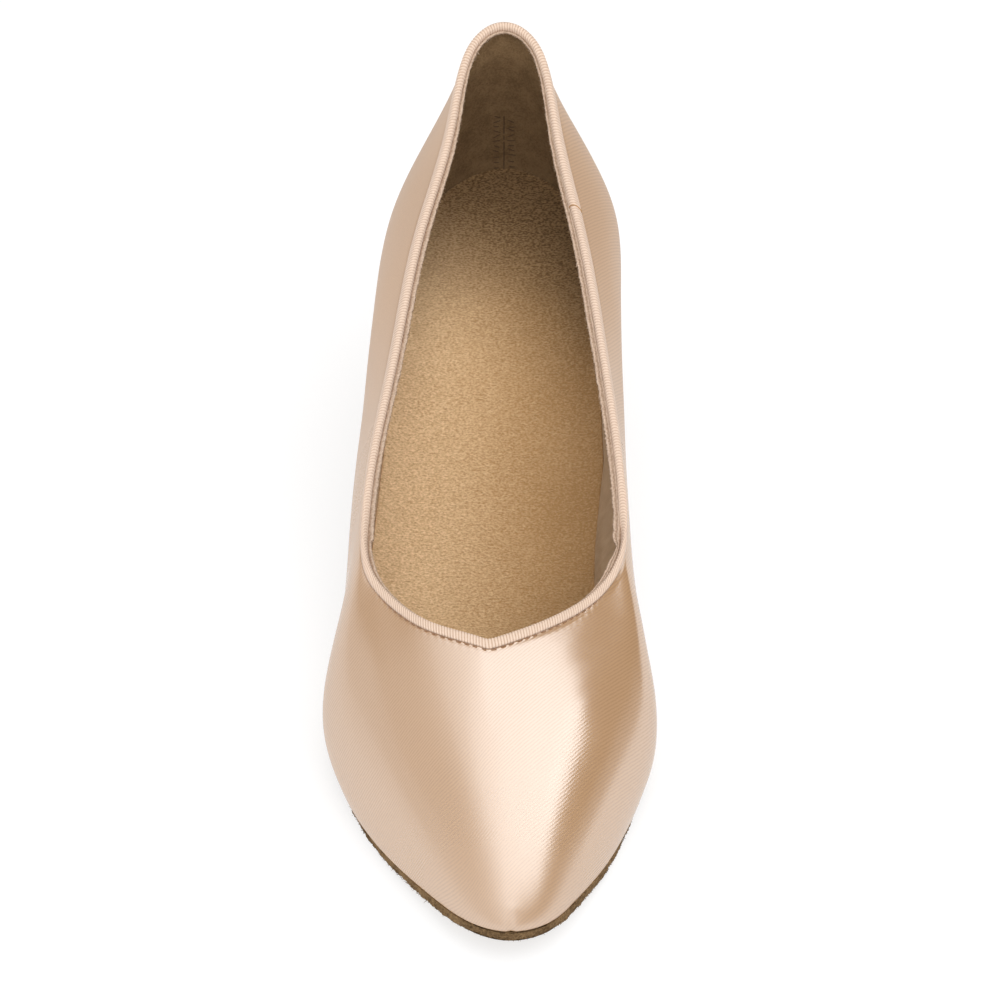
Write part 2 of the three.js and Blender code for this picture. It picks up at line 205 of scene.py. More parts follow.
mirrored = np.array(LATERAL, float)
mirrored[:, [1, 5]] *= -1
sections = np.vstack([BACK_SEAM, mirrored, TOE_TIP, np.array(MEDIAL, float)[::-1]])
along, edge, swell, rise, collar_along, collar_half, collar_height, lean, bow, drop = sections.T
feet = np.stack([edge, -along, foot_height(along)], -1)
collars = np.stack([collar_half, -collar_along, collar_height], -1)
knots = run_along(np.vstack([feet, feet[:1]]))
AROUND = knots[-1]
knots = knots[:-1]
TOE = knots[len(LATERAL) + 1]
foot_line = closed_spline(knots, AROUND, feet)


def outwards(t):
    """Level direction out of the shoe: the way along the foot of the wall, turned a quarter to its right."""
    step = 0.5
    return unit(np.cross((foot_line(t + step) - foot_line(t - step)) * LEVEL, UP))


out = outwards(knots)
low_line = closed_spline(knots, AROUND, feet + out * swell[:, None] + UP * rise[:, None])
high_handles = collars + (feet - collars) * LEVEL * lean[:, None] + out * bow[:, None] - UP * drop[:, None]
high_line = closed_spline(knots, AROUND, high_handles)
collar_line = closed_spline(knots, AROUND, collars)
print(f"the wall is {AROUND:.0f} mm round at the sole")


# %% The wall of the upper as a function of two parameters
def outside(t, w):
    """A point on the outside of the wall, t round the shoe and w from 0 at the sole to 1 at the collar.

    It is a cubic Bezier curve from the foot line by two handle lines to the collar line.
    """
    t, w = np.broadcast_arrays(t, w)
    v = 1 - w
    weights = (v**3, 3 * w * v**2, 3 * w**2 * v, w**3)
    lines = (foot_line, low_line, high_line, collar_line)
    return sum(weight[..., None] * line(t) for weight, line in zip(weights, lines))


def wall_normal(t, w):
    """Outward direction of the wall: the way round crossed with the way up, both from small differences."""
    step_round = 0.3
    step_up = 0.002
    way_round = outside(t + step_round, w) - outside(t - step_round, w)
    way_up = outside(t, np.minimum(w + step_up, 1)) - outside(t, np.maximum(w - step_up, 0))
    return unit(np.cross(way_round, way_up))


def off_wall(t, w, distance):
    """A point that far outside the wall along its normal, or inside it where the distance is negative."""
    return outside(t, w) + wall_normal(t, w) * np.asarray(distance)[..., None]


def pace_at_collar(t):
    """Millimetres of wall per unit of w beside the collar: three times the last leg of the Bezier curve."""
    return 3 * size_of(collar_line(t) - high_line(t))[..., 0]


def at_depth(t, depth):
    """The w that lies that many millimetres below the collar."""
    return 1 - depth / pace_at_collar(t)


def depth_below_collar(t, w):
    """Millimetres from the collar down the wall."""
    return (1 - w) * pace_at_collar(t)


def wall_thickness(t, w):
    """Whole thickness of the wall, skived thin towards the collar."""
    return lerp(WALL_AT_COLLAR, WALL, smooth(SKIVE_START, SKIVE_END, depth_below_collar(t, w)))


DENSE_ROUND = np.linspace(0, AROUND, 8001)
COLLAR_RUN = run_along(collar_line(DENSE_ROUND))
COLLAR_LENGTH = COLLAR_RUN[-1]


def collar_place(distance):
    """The place round the shoe that lies that far along the collar from the back seam."""
    return np.interp(np.mod(distance, COLLAR_LENGTH), COLLAR_RUN, DENSE_ROUND)


def collar_distance(t):
    """Distance along the collar from the back seam to a place round the shoe."""
    return np.interp(np.mod(t, AROUND), DENSE_ROUND, COLLAR_RUN)


print(f"the collar is {COLLAR_LENGTH:.0f} mm round")

# %% [markdown]
# ## From arrays to pieces
# A surface that is a function of two parameters is a grid of points, so one routine can turn any of them into
# a closed mesh. The last's own frame has its origin under the back of the heel, in millimetres. The packed
# top piece tells where that is in the shoe's frame. The points are moved there and turned into metres at the
# end.

# %% Grids, tubes and meshes
METRE = 1000
TREAD = {"half": 12.6, "back": 6.5, "front": 33.5}
tread_low, tread_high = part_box("top_piece")
LAST_ORIGIN = np.array([(tread_low.x + tread_high.x) / 2 * METRE, tread_high.y * METRE + TREAD["back"], 0])


def signed_volume(points, faces):
    """Six times the volume inside the faces, negative where they point inwards, from a fan over each face."""
    total = 0.0
    for group in faces:
        first = points[group[:, 0]]
        for k in range(1, group.shape[1] - 1):
            wedge = np.cross(points[group[:, k]], points[group[:, k + 1]])
            total += np.sum(first * wedge)
    return total


def grid_faces(rows, columns, closed_rows):
    """Quads of a grid whose columns close round, with its rows closed too or capped at both ends."""
    index = np.arange(rows * columns).reshape(rows, columns)
    caps = [] if closed_rows else [index[:1], index[-1:, ::-1]]
    if closed_rows:
        index = np.vstack([index, index[:1]])
    index = np.hstack([index, index[:, :1]])
    quads = np.stack([index[:-1, :-1], index[1:, :-1], index[1:, 1:], index[:-1, 1:]], -1)
    return [quads.reshape(-1, 4), *caps]


def tubes(paths, radii, sides):
    """Points and faces of many short tubes at once, paths (tubes, steps, 3) and radii (tubes, steps).

    A ring point is the path's point plus the radius times the cosine and sine of its angle along two
    directions across the path.
    """
    reference = unit(np.array([0.31, 0.22, 0.93]))
    ahead = unit(np.gradient(paths, axis=1))
    side = unit(np.cross(ahead, reference))
    lift = np.cross(side, ahead)
    angle = np.arange(sides) / sides * 2 * np.pi
    ring = side[:, :, None] * np.cos(angle)[:, None] + lift[:, :, None] * np.sin(angle)[:, None]
    points = paths[:, :, None] + radii[:, :, None, None] * ring
    index = np.arange(points[..., 0].size).reshape(points.shape[:3])
    after = np.roll(index, -1, axis=2)
    quads = np.stack([index[:, :-1], after[:, :-1], after[:, 1:], index[:, 1:]], -1).reshape(-1, 4)
    return points.reshape(-1, 3), [quads, index[:, 0, ::-1], index[:, -1]]


def make_piece(name, points, faces, finish, slot, node, **fields):
    """Turns points in the last's frame and faces into a piece of the shoe that stands for a solid."""
    points = points.reshape(-1, 3)
    if signed_volume(points, faces) < 0:
        faces = [group[:, ::-1] for group in faces]
    corners = np.concatenate([group.ravel() for group in faces])
    counts = np.concatenate([np.full(len(group), group.shape[1]) for group in faces])
    mesh = bpy.data.meshes.new(name)
    mesh.vertices.add(len(points))
    mesh.loops.add(len(corners))
    mesh.polygons.add(len(counts))
    mesh.vertices.foreach_set("co", ((points + LAST_ORIGIN) / METRE).ravel())
    mesh.loops.foreach_set("vertex_index", corners)
    mesh.polygons.foreach_set("loop_start", np.cumsum(counts) - counts)
    mesh.update(calc_edges=True)
    mesh.shade_smooth()
    for field, values in fields.items():
        kind, key = ("FLOAT_VECTOR", "vector") if values.shape[-1] == 3 else ("FLOAT", "value")
        mesh.attributes.new(field, kind, "POINT").data.foreach_set(key, values.ravel())
    mesh.materials.append(finish)
    piece = bpy.data.objects.new(name, mesh)
    bpy.context.scene.collection.objects.link(piece)
    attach(piece, "root")
    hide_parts(node)
    triangles = int(np.sum(counts - 2))
    print(f"{name}: {triangles} triangles, {len(counts)} faces")
    return piece


print("origin of the last in the shoe's frame, mm:", LAST_ORIGIN.round(2))

# %% [markdown]
# ## Writing finishes as formulas
# A finish is a node tree, and trees are hard to read when every Math node is a line of its own. One small
# class wraps a socket, so that a sum of two patterns is written with a plus sign, and one method adds any
# other node.


# %% A socket that can do sums, and a finish to hold it
class Value:
    """An output of a node. Arithmetic on it adds Math nodes to the same finish."""

    def __init__(self, finish, socket):
        self.finish = finish
        self.socket = socket

    def maths(self, operation, *others):
        """Adds a Math node that takes this value first."""
        return self.finish.node("ShaderNodeMath", {"operation": operation}, [self, *others])

    def __add__(self, other):
        return self.maths("ADD", other)

    def __mul__(self, other):
        return self.maths("MULTIPLY", other)

    def __sub__(self, other):
        return self.maths("SUBTRACT", other)

    def __rsub__(self, other):
        return self * -1 + other

    __radd__ = __add__
    __rmul__ = __mul__


class Finish:
    """One material: a Principled shader with constants on its own sockets, and the nodes that feed it."""

    def __init__(self, name, **constants):
        self.material = bpy.data.materials.new(name)
        self.material.use_nodes = True
        self.tree = self.material.node_tree
        self.shader = self.tree.nodes["Principled BSDF"]
        for socket, value in constants.items():
            self.shader.inputs[socket.replace("_", " ")].default_value = value

    def node(self, kind, settings=None, sockets=(), output=0):
        """Adds a node, sets its settings, then gives its sockets their values or links."""
        made = self.tree.nodes.new(kind)
        for setting, value in (settings or {}).items():
            setattr(made, setting, value)
        for key, value in sockets.items() if isinstance(sockets, dict) else enumerate(sockets):
            self.feed(made.inputs[key], value)
        return Value(self, made.outputs[output])

    def feed(self, socket, value):
        """Links a value to a socket, or sets the socket to a plain number, colour or vector."""
        if isinstance(value, Value):
            self.tree.links.new(value.socket, socket)
        else:
            socket.default_value = value

    def shade(self, **sockets):
        """Feeds what changes over the surface to the shader."""
        for socket, value in sockets.items():
            self.feed(self.shader.inputs[socket.replace("_", " ")], value)
        return self.material

    def place(self):
        """The point on the shoe, in metres."""
        return self.node("ShaderNodeTexCoord", output="Object")

    def field(self, name):
        """A number that the piece carries on its points."""
        return self.node("ShaderNodeAttribute", {"attribute_name": name}, output="Fac")

    def pattern(self):
        """The cloth's own flat coordinates, in millimetres."""
        return self.node("ShaderNodeAttribute", {"attribute_name": "pattern"}, output="Vector")

    def parts(self, vector):
        """The three numbers of a vector."""
        split = self.node("ShaderNodeSeparateXYZ", None, [vector]).socket.node
        return [Value(self, split.outputs[name]) for name in ("X", "Y", "Z")]

    def stretched(self, vector, by):
        """A vector with each of its numbers multiplied by its own factor."""
        return self.node("ShaderNodeVectorMath", {"operation": "MULTIPLY"}, [vector, by])

    def noise(self, vector, scale, detail=2.0, roughness=0.5):
        """A cloudy pattern of about 0 to 1, with so many clouds per unit of the vector."""
        sockets = {"Vector": vector, "Scale": scale, "Detail": detail, "Roughness": roughness}
        return self.node("ShaderNodeTexNoise", None, sockets, "Fac")

    def wave(self, value):
        """The sine of a value."""
        return value.maths("SINE")

    def between(self, value, low, high):
        """Runs smoothly from 0 where the value is low to 1 where it is high."""
        sockets = {"Value": value, "From Min": low, "From Max": high}
        return self.node("ShaderNodeMapRange", {"interpolation_type": "SMOOTHSTEP"}, sockets)

    def blend(self, share, first, second):
        """Mixes two colours."""
        return self.node("ShaderNodeMix", {"data_type": "RGBA"}, {0: share, 6: first, 7: second}, 2)

    def bump(self, height, depth):
        """A normal from a height of about -1 to 1, with its depth in millimetres."""
        sockets = {"Strength": 1.0, "Distance": depth / METRE, "Height": height}
        return self.node("ShaderNodeBump", None, sockets)


def colour(red, green, blue):
    """A colour given as it looks on screen, 0 to 255, turned into the linear light that shaders take."""
    shown = np.array([red, green, blue]) / 255
    linear = np.where(shown <= 0.04045, shown / 12.92, ((shown + 0.055) / 1.055) ** 2.4)
    return (*linear.tolist(), 1.0)


print("finishes can be written as formulas")

# %% [markdown]
# ## Satin
# The upper is duchess satin, a twill of shiny threads. Its fine ribs run aslant over the toe, and they catch
# the light most at the edge of a highlight. An image of the weave would blur up close, so the ribs are a sine
# across the cloth's own flat coordinates, which each piece carries in its "pattern" field, in millimetres.

# %% Champagne satin
TWILL_PITCH = 0.67
TWILL_SLANT = np.radians(47)
SATIN = colour(199, 157, 114)
# Deeper tone for random patches, and painted shade in the twill dips.
SATIN_DEEP_AND_SHADE = colour(182, 140, 100)
# Where dulling begins and where it is full, along the shoe in metres.
RUBBED = (-0.01, 0.05)
SCUFFED = (-0.078, -0.104)


def satin_finish(name):
    """Twill ribs are a sine of the slanted distance over the pitch, broken by noise along the threads.

    A rib is a smooth float of silk, and the dips between ribs are duller, with painted shade deepening their
    colour. The quarters are rubbed dull by handling, and the tip of the toe is scuffed.
    """
    finish = Finish(name, IOR=3.1)
    cloth = finish.pattern()
    u, v, _ = finish.parts(cloth)
    across = u * np.sin(TWILL_SLANT) - v * np.cos(TWILL_SLANT)
    waver = finish.noise(cloth, 0.55, 2.0)
    rib = finish.wave((across + waver * 0.35) * (2 * np.pi / TWILL_PITCH))
    patchy = finish.noise(cloth, 0.06, 3.0)
    raised = rib * (finish.noise(cloth, 1.8, 1.0) * 3.0 - 0.7)
    shaded_dull_dip = finish.between(raised, 0.5, -0.9)
    _, along, _ = finish.parts(finish.place())
    rubbed = finish.between(along, *RUBBED)
    scuffed = finish.between(along, *SCUFFED)
    return finish.shade(
        # Base colour: random patches of deeper tone, plus painted shade in the dips between ribs.
        Base_Color=finish.blend(patchy * 0.3 + shaded_dull_dip * 0.9 - 0.2, SATIN, SATIN_DEEP_AND_SHADE),
        Roughness=finish.noise(cloth, 0.2, 2.0) * 0.06 + shaded_dull_dip * 0.075 + rubbed * 0.28 + scuffed * 0.14 + 0.15,
        Normal=finish.bump(raised, 0.005),
    )


champagne_satin = satin_finish("champagne_satin")
heel_satin = satin_finish("heel_satin")
print("satin ribs every", TWILL_PITCH, "mm")

# %% [markdown]
# ## The upper
# The satin is drawn over the last, tucked under at the sole and caught at the collar by the stitches of the
# ribbon, which pucker it. A cloth simulation could drape it, but satin stretched over a last takes the last's
# own shape. Puckers, the back seam and the small pleat at the tip are real shapes, so they are worked into
# the grid itself as soft ridges and troughs, and only the weave is left to bump.

# %% Satin cover of the upper
STITCH_PITCH = 2.2
STITCH_COUNT = round(COLLAR_LENGTH / STITCH_PITCH)
STITCH_DEPTH = 2.35
STITCH_TROUGH = 0.12
STITCH_PUFF = 0.014
SEAM_GROOVE = 0.3
TIP_PLEAT = 0.3
TIP_WRINKLE = 0.1
SLOW_WAVES = 0.03
TUCK_RADIUS = 0.35
SATIN_REACH = 0.27
REACH_FADE = 1.5
SATIN_SHARE = 0.5
SATIN_STEPS = 760
# Each hump's distance along the collar, its depth below it, and how far it stands off the wall.
CORNER = [
    (220, 5, 0.17), (220, 24, 0.4), (236, 5, -0.75), (236, 14, -0.35), (236, 24, -0.19),
    (250, 5, -0.08), (250, 14, 0.37), (250, 24, 0.39),
]
CORNER_ALONG = 13
CORNER_DEEP = 8
CORNER_FADE = (1.5, 4)
THROAT_START = 130
THROAT_FULL = 142
OUTER_ROWS = np.concatenate(
    [np.linspace(0, 0.04, 7)[:-1], np.linspace(0.04, 0.9, 64)[:-1], np.linspace(0.9, 1, 18)]
)
INNER_ROWS = np.linspace(1, 0, 10)


def throat_share(t):
    """1 round the front of the collar, 0 along its sides."""
    return smooth(THROAT_START, THROAT_FULL, -collar_line(t)[..., 1])


def climb_from_sole(t, w):
    """Millimetres up the wall from the sole, true close to it: three handle lengths per unit of w."""
    return w * 3 * size_of(low_line(t) - foot_line(t))[..., 0]


def corner_relief(t, w):
    """How far the wall stands off its plain shape at the throat's medial corner, where the ribbon pulls it.

    A sum of humps, each at a distance along the collar and a depth below it, faded out under the ribbon.
    """
    distance = collar_distance(t)
    depth = depth_below_collar(t, w)
    humps = sum(
        stand * hump(distance, at, CORNER_ALONG) * hump(depth, below, CORNER_DEEP)
        for at, below, stand in CORNER
    )
    return humps * smooth(*CORNER_FADE, depth)


def satin_relief(t, w):
    """How far the satin stands off the plain wall, in millimetres.

    The sum of the corner's relief, a quarter round tuck at the sole, a trough along the stitches with puffs
    between them, a seam groove at the back, a pleat and a wrinkle at the tip, and three slow waves.
    """
    climbed = climb_from_sole(t, w)
    depth = depth_below_collar(t, w)
    from_seam = np.abs((t + AROUND / 2) % AROUND - AROUND / 2)
    from_tip = t - TOE
    share = np.clip(1 - climbed / TUCK_RADIUS, 0, 1)
    tuck = -TUCK_RADIUS * (1 - np.sqrt(1 - share**2))
    stitch = np.cos(2 * np.pi * STITCH_COUNT * collar_distance(t) / COLLAR_LENGTH)
    trough = -STITCH_TROUGH * hump(depth, STITCH_DEPTH, 0.5) * (0.85 + 0.15 * stitch)
    puff = STITCH_PUFF * throat_share(t) * hump(depth, STITCH_DEPTH + 1.1, 0.9) * (1 - stitch)
    seam = -SEAM_GROOVE * hump(from_seam, 0, 0.8)
    pleat = -TIP_PLEAT * hump(from_tip, 0.3, 0.8) * np.exp(-climbed / 1.6)
    wrinkle = TIP_WRINKLE * hump(from_tip, 0.8, 1.8) * hump(climbed, 3.4, 0.5)
    uneven = SLOW_WAVES * (np.sin(t / 7.1 + 5 * w) + np.sin(t / 11.3 - 9 * w) + np.sin(t / 4.3 + 13 * w))
    sewn = tuck + trough + puff + seam + pleat + wrinkle
    return corner_relief(t, w) + sewn + uneven * smooth(0, 8, climbed)


def cloth_pattern(t, w):
    """Flat coordinates of the cloth, in millimetres.

    The collar's plan point plus the way out from it times the run down the wall.
    """
    way_out = unit((high_line(t) - collar_line(t)) * LEVEL)
    wall = outside(t, w)
    steps = np.concatenate([np.zeros_like(wall[:, :1]), np.diff(wall, axis=1)], axis=1)
    climbed = np.cumsum(size_of(steps), axis=1)
    return (collar_line(t) * LEVEL) + way_out * (climbed[:, -1:] - climbed)


def round_places(count):
    """Places round the shoe, closer together at the back seam and at the toe."""
    share = np.arange(count) / count
    return AROUND * (share - 0.4 * np.sin(4 * np.pi * share) / (4 * np.pi))[:, None]


def make_satin_upper():
    """The wall with its relief outside, drawn down to the sole, and half of its thickness inside."""
    t = round_places(SATIN_STEPS)
    outer = off_wall(t, OUTER_ROWS, satin_relief(t, OUTER_ROWS))
    outer[..., 2] -= SATIN_REACH * (1 - smooth(0, REACH_FADE, climb_from_sole(t, OUTER_ROWS)))
    inwards = wall_thickness(t, INNER_ROWS) * SATIN_SHARE
    inner = off_wall(t, INNER_ROWS, corner_relief(t, INNER_ROWS) - inwards)
    points = np.concatenate([outer, inner], axis=1)
    outer_pattern = cloth_pattern(t, OUTER_ROWS)
    inner_pattern = cloth_pattern(t, INNER_ROWS[::-1])[:, ::-1]
    pattern = np.concatenate([outer_pattern, inner_pattern], axis=1)
    faces = grid_faces(*points.shape[:2], closed_rows=True)
    make_piece("satin_upper", points, faces, champagne_satin, "satin", "upper", pattern=pattern)


make_satin_upper()

# %% [markdown]
# ## Linings
# Inside, the heel is lined with dark napped suede that grips the foot, and the rest with a thin grey-beige
# twill. They are shells of their own between the satin and the foot, each from the same wall function, so the
# suede can lap over the twill by its real thickness.

# %% Lining finishes
LINING_TWILL = 0.55
SUEDE_DARK = colour(112, 88, 60)
SUEDE_NAP = colour(142, 115, 83)
LINING_PALE = colour(200, 172, 140)
LINING_SHADE = colour(170, 142, 112)


def suede_finish(name, deep, raised, grain, depth):
    """Nap: a fine noise for the fibres, and a coarser one for the places rubbed the other way."""
    finish = Finish(name, Roughness=0.95, Specular_IOR_Level=0.15)
    place = finish.place()
    fibre = finish.noise(place, grain, 4.0, 0.65)
    rubbed = finish.noise(place, grain * 0.12, 3.0)
    share = finish.between(fibre * 0.7 + rubbed * 0.5, 0.4, 0.8)
    return finish.shade(Base_Color=finish.blend(share, deep, raised), Normal=finish.bump(fibre, depth))


def lining_finish():
    """A plain fine twill: a sine across the cloth's slant, dulled by noise."""
    finish = Finish("lining_twill", Roughness=0.8, Specular_IOR_Level=0.3)
    cloth = finish.pattern()
    u, v, _ = finish.parts(cloth)
    rib = finish.wave((u + v) * (2 * np.pi / LINING_TWILL))
    darkening = finish.noise(cloth, 0.3, 3.0)
    share = rib * 0.3 + darkening
    return finish.shade(
        Base_Color=finish.blend(share, LINING_PALE, LINING_SHADE),
        Normal=finish.bump(rib, 0.02),
    )


heel_suede = suede_finish("heel_lining_suede", SUEDE_DARK, SUEDE_NAP, 1800.0, 0.25)
lining_twill = lining_finish()
print("lining twill every", LINING_TWILL, "mm")

# %% Lining pieces
LINING_JOIN = 66
SUEDE_LAP = 3
SUEDE_PROUD = 0.3
LINING_GAP = 0.05
ARCH_PAD = {
    "along": [0, 88, 98, 106, 114, 121, 125, 130, 145],
    "inwards": [0, 0, 1.4, 2.5, 3.1, 2, 1, 0.4, 0],
}
PAD_FADE = (4, 16)
PROUD_FADE = (2.5, 5)


def place_along(distance, start, end):
    """The place between two others on the foot line whose foot stands that far along."""
    t = np.linspace(start, end, 2000)
    way = -foot_line(t)[:, 1]
    order = np.argsort(way)
    return np.interp(distance, way[order], t[order])


def arch_pad(t):
    """How far the padding under the medial arch draws the lining in at the sock, none on the lateral side."""
    return np.interp(-foot_line(t)[..., 1], ARCH_PAD["along"], ARCH_PAD["inwards"]) * (t > TOE)


def make_lining(name, start, end, steps, proud, finish, slot):
    """A shell from the satin's inside to the wall's inside, plus padding and what it stands proud."""
    t = np.linspace(start, end, steps)[:, None]
    down = np.linspace(1, 0, 64)[None]
    up = np.linspace(0, 1, 12)[None]
    raised = proud * smooth(*PROUD_FADE, depth_below_collar(t, down))
    raised = raised + arch_pad(t) * (1 - smooth(*PAD_FADE, climb_from_sole(t, down)))
    inner = off_wall(t, down, corner_relief(t, down) - wall_thickness(t, down) - raised)
    outer = off_wall(t, up, corner_relief(t, up) - wall_thickness(t, up) * SATIN_SHARE - LINING_GAP)
    points = np.concatenate([inner, outer], axis=1)
    pattern = np.concatenate([cloth_pattern(t, down[:, ::-1])[:, ::-1], cloth_pattern(t, up)], axis=1)
    faces = grid_faces(*points.shape[:2], closed_rows=False)
    make_piece(name, points, faces, finish, slot, "upper", pattern=pattern)


lateral_join = place_along(LINING_JOIN, 0, TOE)
medial_join = place_along(LINING_JOIN, TOE, AROUND)
make_lining("lining_fabric", lateral_join - SUEDE_LAP, medial_join + SUEDE_LAP, 420, 0, lining_twill, "satin")
make_lining("heel_lining", medial_join - AROUND, lateral_join, 260, SUEDE_PROUD, heel_suede, "sock")

# %% [markdown]
# ## Ribbon
# The collar is bound with a narrow ribbed ribbon, folded over the edge and rolled. Bump alone would draw its
# ribs, but they are the first thing the eye meets at the throat, so they are geometry: a rolled U-shaped
# profile carried along the collar, swelling and shrinking with the ribs.

# %% Ribbon finish
RIBBON_CREST = colour(234, 210, 190)
# Painted shade in the valleys between the ribs.
RIBBON_VALLEY_SHADE = colour(198, 164, 138)


def ribbon_finish():
    """Colour follows the rib's own height, with painted shade in the valleys between ribs and fine threads
    across it.
    """
    finish = Finish(
        "ribbed_ribbon", Roughness=0.62, Specular_IOR_Level=0.4, Sheen_Weight=0.25, Sheen_Roughness=0.4
    )
    place = finish.place()
    rib = finish.field("rib")
    thread = finish.noise(place, 2600.0, 2.0)
    share = finish.between(rib + thread * 0.5 - 0.25, 0.1, 0.95)
    return finish.shade(
        Base_Color=finish.blend(share, RIBBON_VALLEY_SHADE, RIBBON_CREST),
        Normal=finish.bump(thread, 0.05),
    )


ribbed_ribbon = ribbon_finish()
print("ribbon finish ready")

# %% Ribbon piece
RIB_PITCH = 0.75
RIB_COUNT = round(COLLAR_LENGTH / RIB_PITCH)
STEPS_PER_RIB = 6
RIB_HEIGHT = 0.12
RIBBON_REACH = 0.98
RIBBON_ROLL = 2.36
RIBBON_DEPTH = 2.1
RIBBON_UNDER = 0.44
RIBBON_JOIN = 331
BOLD_RIBS = 178
BOLD_SPREAD = 34
LAP_STEP = 0.2
LAP_LENGTH = 14


def ribbon_profile():
    """Depth below the collar, distance from the wall's middle and height over its edge, round one section.

    The outer leg bulges as the reach times the root of one minus the depth over the roll cubed, a half circle
    goes over the edge, the inner leg mirrors the outer one, and the ribbon's hidden face returns inside.
    """
    leg = np.linspace(RIBBON_DEPTH, 0.5, 5)
    bulge = RIBBON_REACH * np.sqrt(1 - (leg / RIBBON_ROLL) ** 3)
    angle = np.linspace(0, np.pi, 11)
    hidden_depth = np.array([RIBBON_DEPTH - 0.2, 0, 0, 0, RIBBON_DEPTH - 0.2])
    hidden_side = RIBBON_UNDER * np.array([-1, -1, 0, 1, 1])
    hidden_over = RIBBON_UNDER * np.array([0, 0, 1, 0, 0])
    depth = np.concatenate([leg, 0 * angle, leg[::-1], hidden_depth])
    side = np.concatenate([bulge, RIBBON_REACH * np.cos(angle), -bulge[::-1], hidden_side])
    over = np.concatenate([0 * leg, RIBBON_REACH * np.sin(angle), 0 * leg, hidden_over])
    shown = np.append(np.ones(len(depth) - len(hidden_depth)), np.zeros(len(hidden_depth)))
    return depth, side, over, shown


def ribbon_place(distance, depth, side, over):
    """Points that far along the collar, below it, off the middle of the wall, and above its edge."""
    t = collar_place(distance)
    climb = unit(outside(t, 1.0) - outside(t, at_depth(t, RIBBON_DEPTH)))
    return off_wall(t, at_depth(t, depth), -WALL_AT_COLLAR / 2 + side) + climb * over[..., None]


def make_ribbon():
    """The profile times a swell: ribs as a rounded sine, a step where the ends overlap, and slow unevenness.

    The ribs stand out most where the ribbon is pulled round the throat.
    """
    depth, side, over, shown = ribbon_profile()
    distance = np.arange(RIB_COUNT * STEPS_PER_RIB)[:, None] / (RIB_COUNT * STEPS_PER_RIB) * COLLAR_LENGTH
    slant = np.linspace(0, 0.5, len(depth))
    phase = distance / COLLAR_LENGTH * RIB_COUNT + slant
    bold = 0.75 + 0.25 * hump(distance, BOLD_RIBS, BOLD_SPREAD)
    # The rib's height, which also sets the painted shade in the valleys.
    rib = lerp(0.62, np.abs(np.sin(np.pi * phase)), bold)
    lapped = np.mod(distance - RIBBON_JOIN, COLLAR_LENGTH)
    overlap = LAP_STEP * np.exp(-lapped / LAP_LENGTH) * smooth(0, 0.3, lapped)
    uneven = 0.02 * np.sin(distance / 5.3) + 0.015 * np.sin(distance / 2.1 + 1)
    swell = 1 + shown * (rib * RIB_HEIGHT - RIB_HEIGHT / 2 + overlap + uneven)
    points = ribbon_place(distance, depth, side * swell, over * swell)
    faces = grid_faces(*points.shape[:2], closed_rows=True)
    make_piece("topline_ribbon", points, faces, ribbed_ribbon, "ribbon", "topline_binding", rib=rib)


make_ribbon()

# %% [markdown]
# ## Stitches and the raw edge
# A line of short stitches holds the ribbon outside, and inside its raw edge hangs below the fold, fuzzy and
# frayed. Each stitch is a short bent tube whose ends dive into the cloth. All of them are computed as one
# array and joined into one mesh, because hundreds of separate objects would be slow to handle.

# %% Thread and raw edge finishes
THREAD_BROWN = colour(186, 146, 116)
THREAD_DARK = colour(138, 102, 76)
JOIN_PALE = colour(208, 164, 112)
JOIN_DEEP = colour(166, 122, 78)
SEAM_PALE = colour(108, 83, 56)
SEAM_DEEP = colour(78, 58, 39)
RAW_PALE = colour(216, 192, 170)
# Deeper fibre tone, and the painted shade in the sewn groove and under the flap.
RAW_DEEP_AND_SHADE = colour(140, 110, 88)


def thread_finish(name, pale, deep):
    """Twisted thread: two shades mixed by a fine noise."""
    finish = Finish(name, Roughness=0.7, Specular_IOR_Level=0.3)
    twist = finish.noise(finish.place(), 4200.0, 2.0)
    return finish.shade(Base_Color=finish.blend(twist, pale, deep), Normal=finish.bump(twist, 0.04))


def raw_finish():
    """Loose fibres: a fine noise between two colours, with painted shade deepening the colour down in the
    sewn groove and underneath.
    """
    finish = Finish("raw_ribbon_edge", Roughness=0.95, Specular_IOR_Level=0.15)
    fibre = finish.noise(finish.place(), 2200.0, 3.0, 0.65)
    share = finish.between(fibre * 1.6 + finish.field("ridge") * 0.55, 0.5, 1.75)
    return finish.shade(Base_Color=finish.blend(share, RAW_DEEP_AND_SHADE, RAW_PALE), Normal=finish.bump(fibre, 0.15))


stitch_thread = thread_finish("stitch_thread", THREAD_BROWN, THREAD_DARK)
join_thread = thread_finish("join_thread", JOIN_PALE, JOIN_DEEP)
seam_thread = thread_finish("seam_thread", SEAM_PALE, SEAM_DEEP)
raw_edge = raw_finish()
print("thread and raw edge finishes ready")

# %% Stitches that hold the ribbon
STITCH_LENGTH = 1.3
STITCH_RADIUS = 0.13
STITCH_ARCH = 0.1
STITCH_DRAWN_UP = 0.7
STITCH_SHIFT = 0.08


def bent_stitches(centres, ways, lifts, length, radius, arch):
    """Short tubes: each runs its length along its way, and arches off the cloth.

    The arch is its height times one minus the square of the share from the middle to either end.
    """
    share = np.linspace(-1, 1, 6)[:, None]
    run = ways[:, None] * share * length / 2
    paths = centres[:, None] + run + lifts[:, None] * (1 - share**2) * arch
    radii = np.broadcast_to(radius * np.sqrt(1 - 0.7 * share[:, 0] ** 4), paths.shape[:2])
    return tubes(paths, radii, 6)


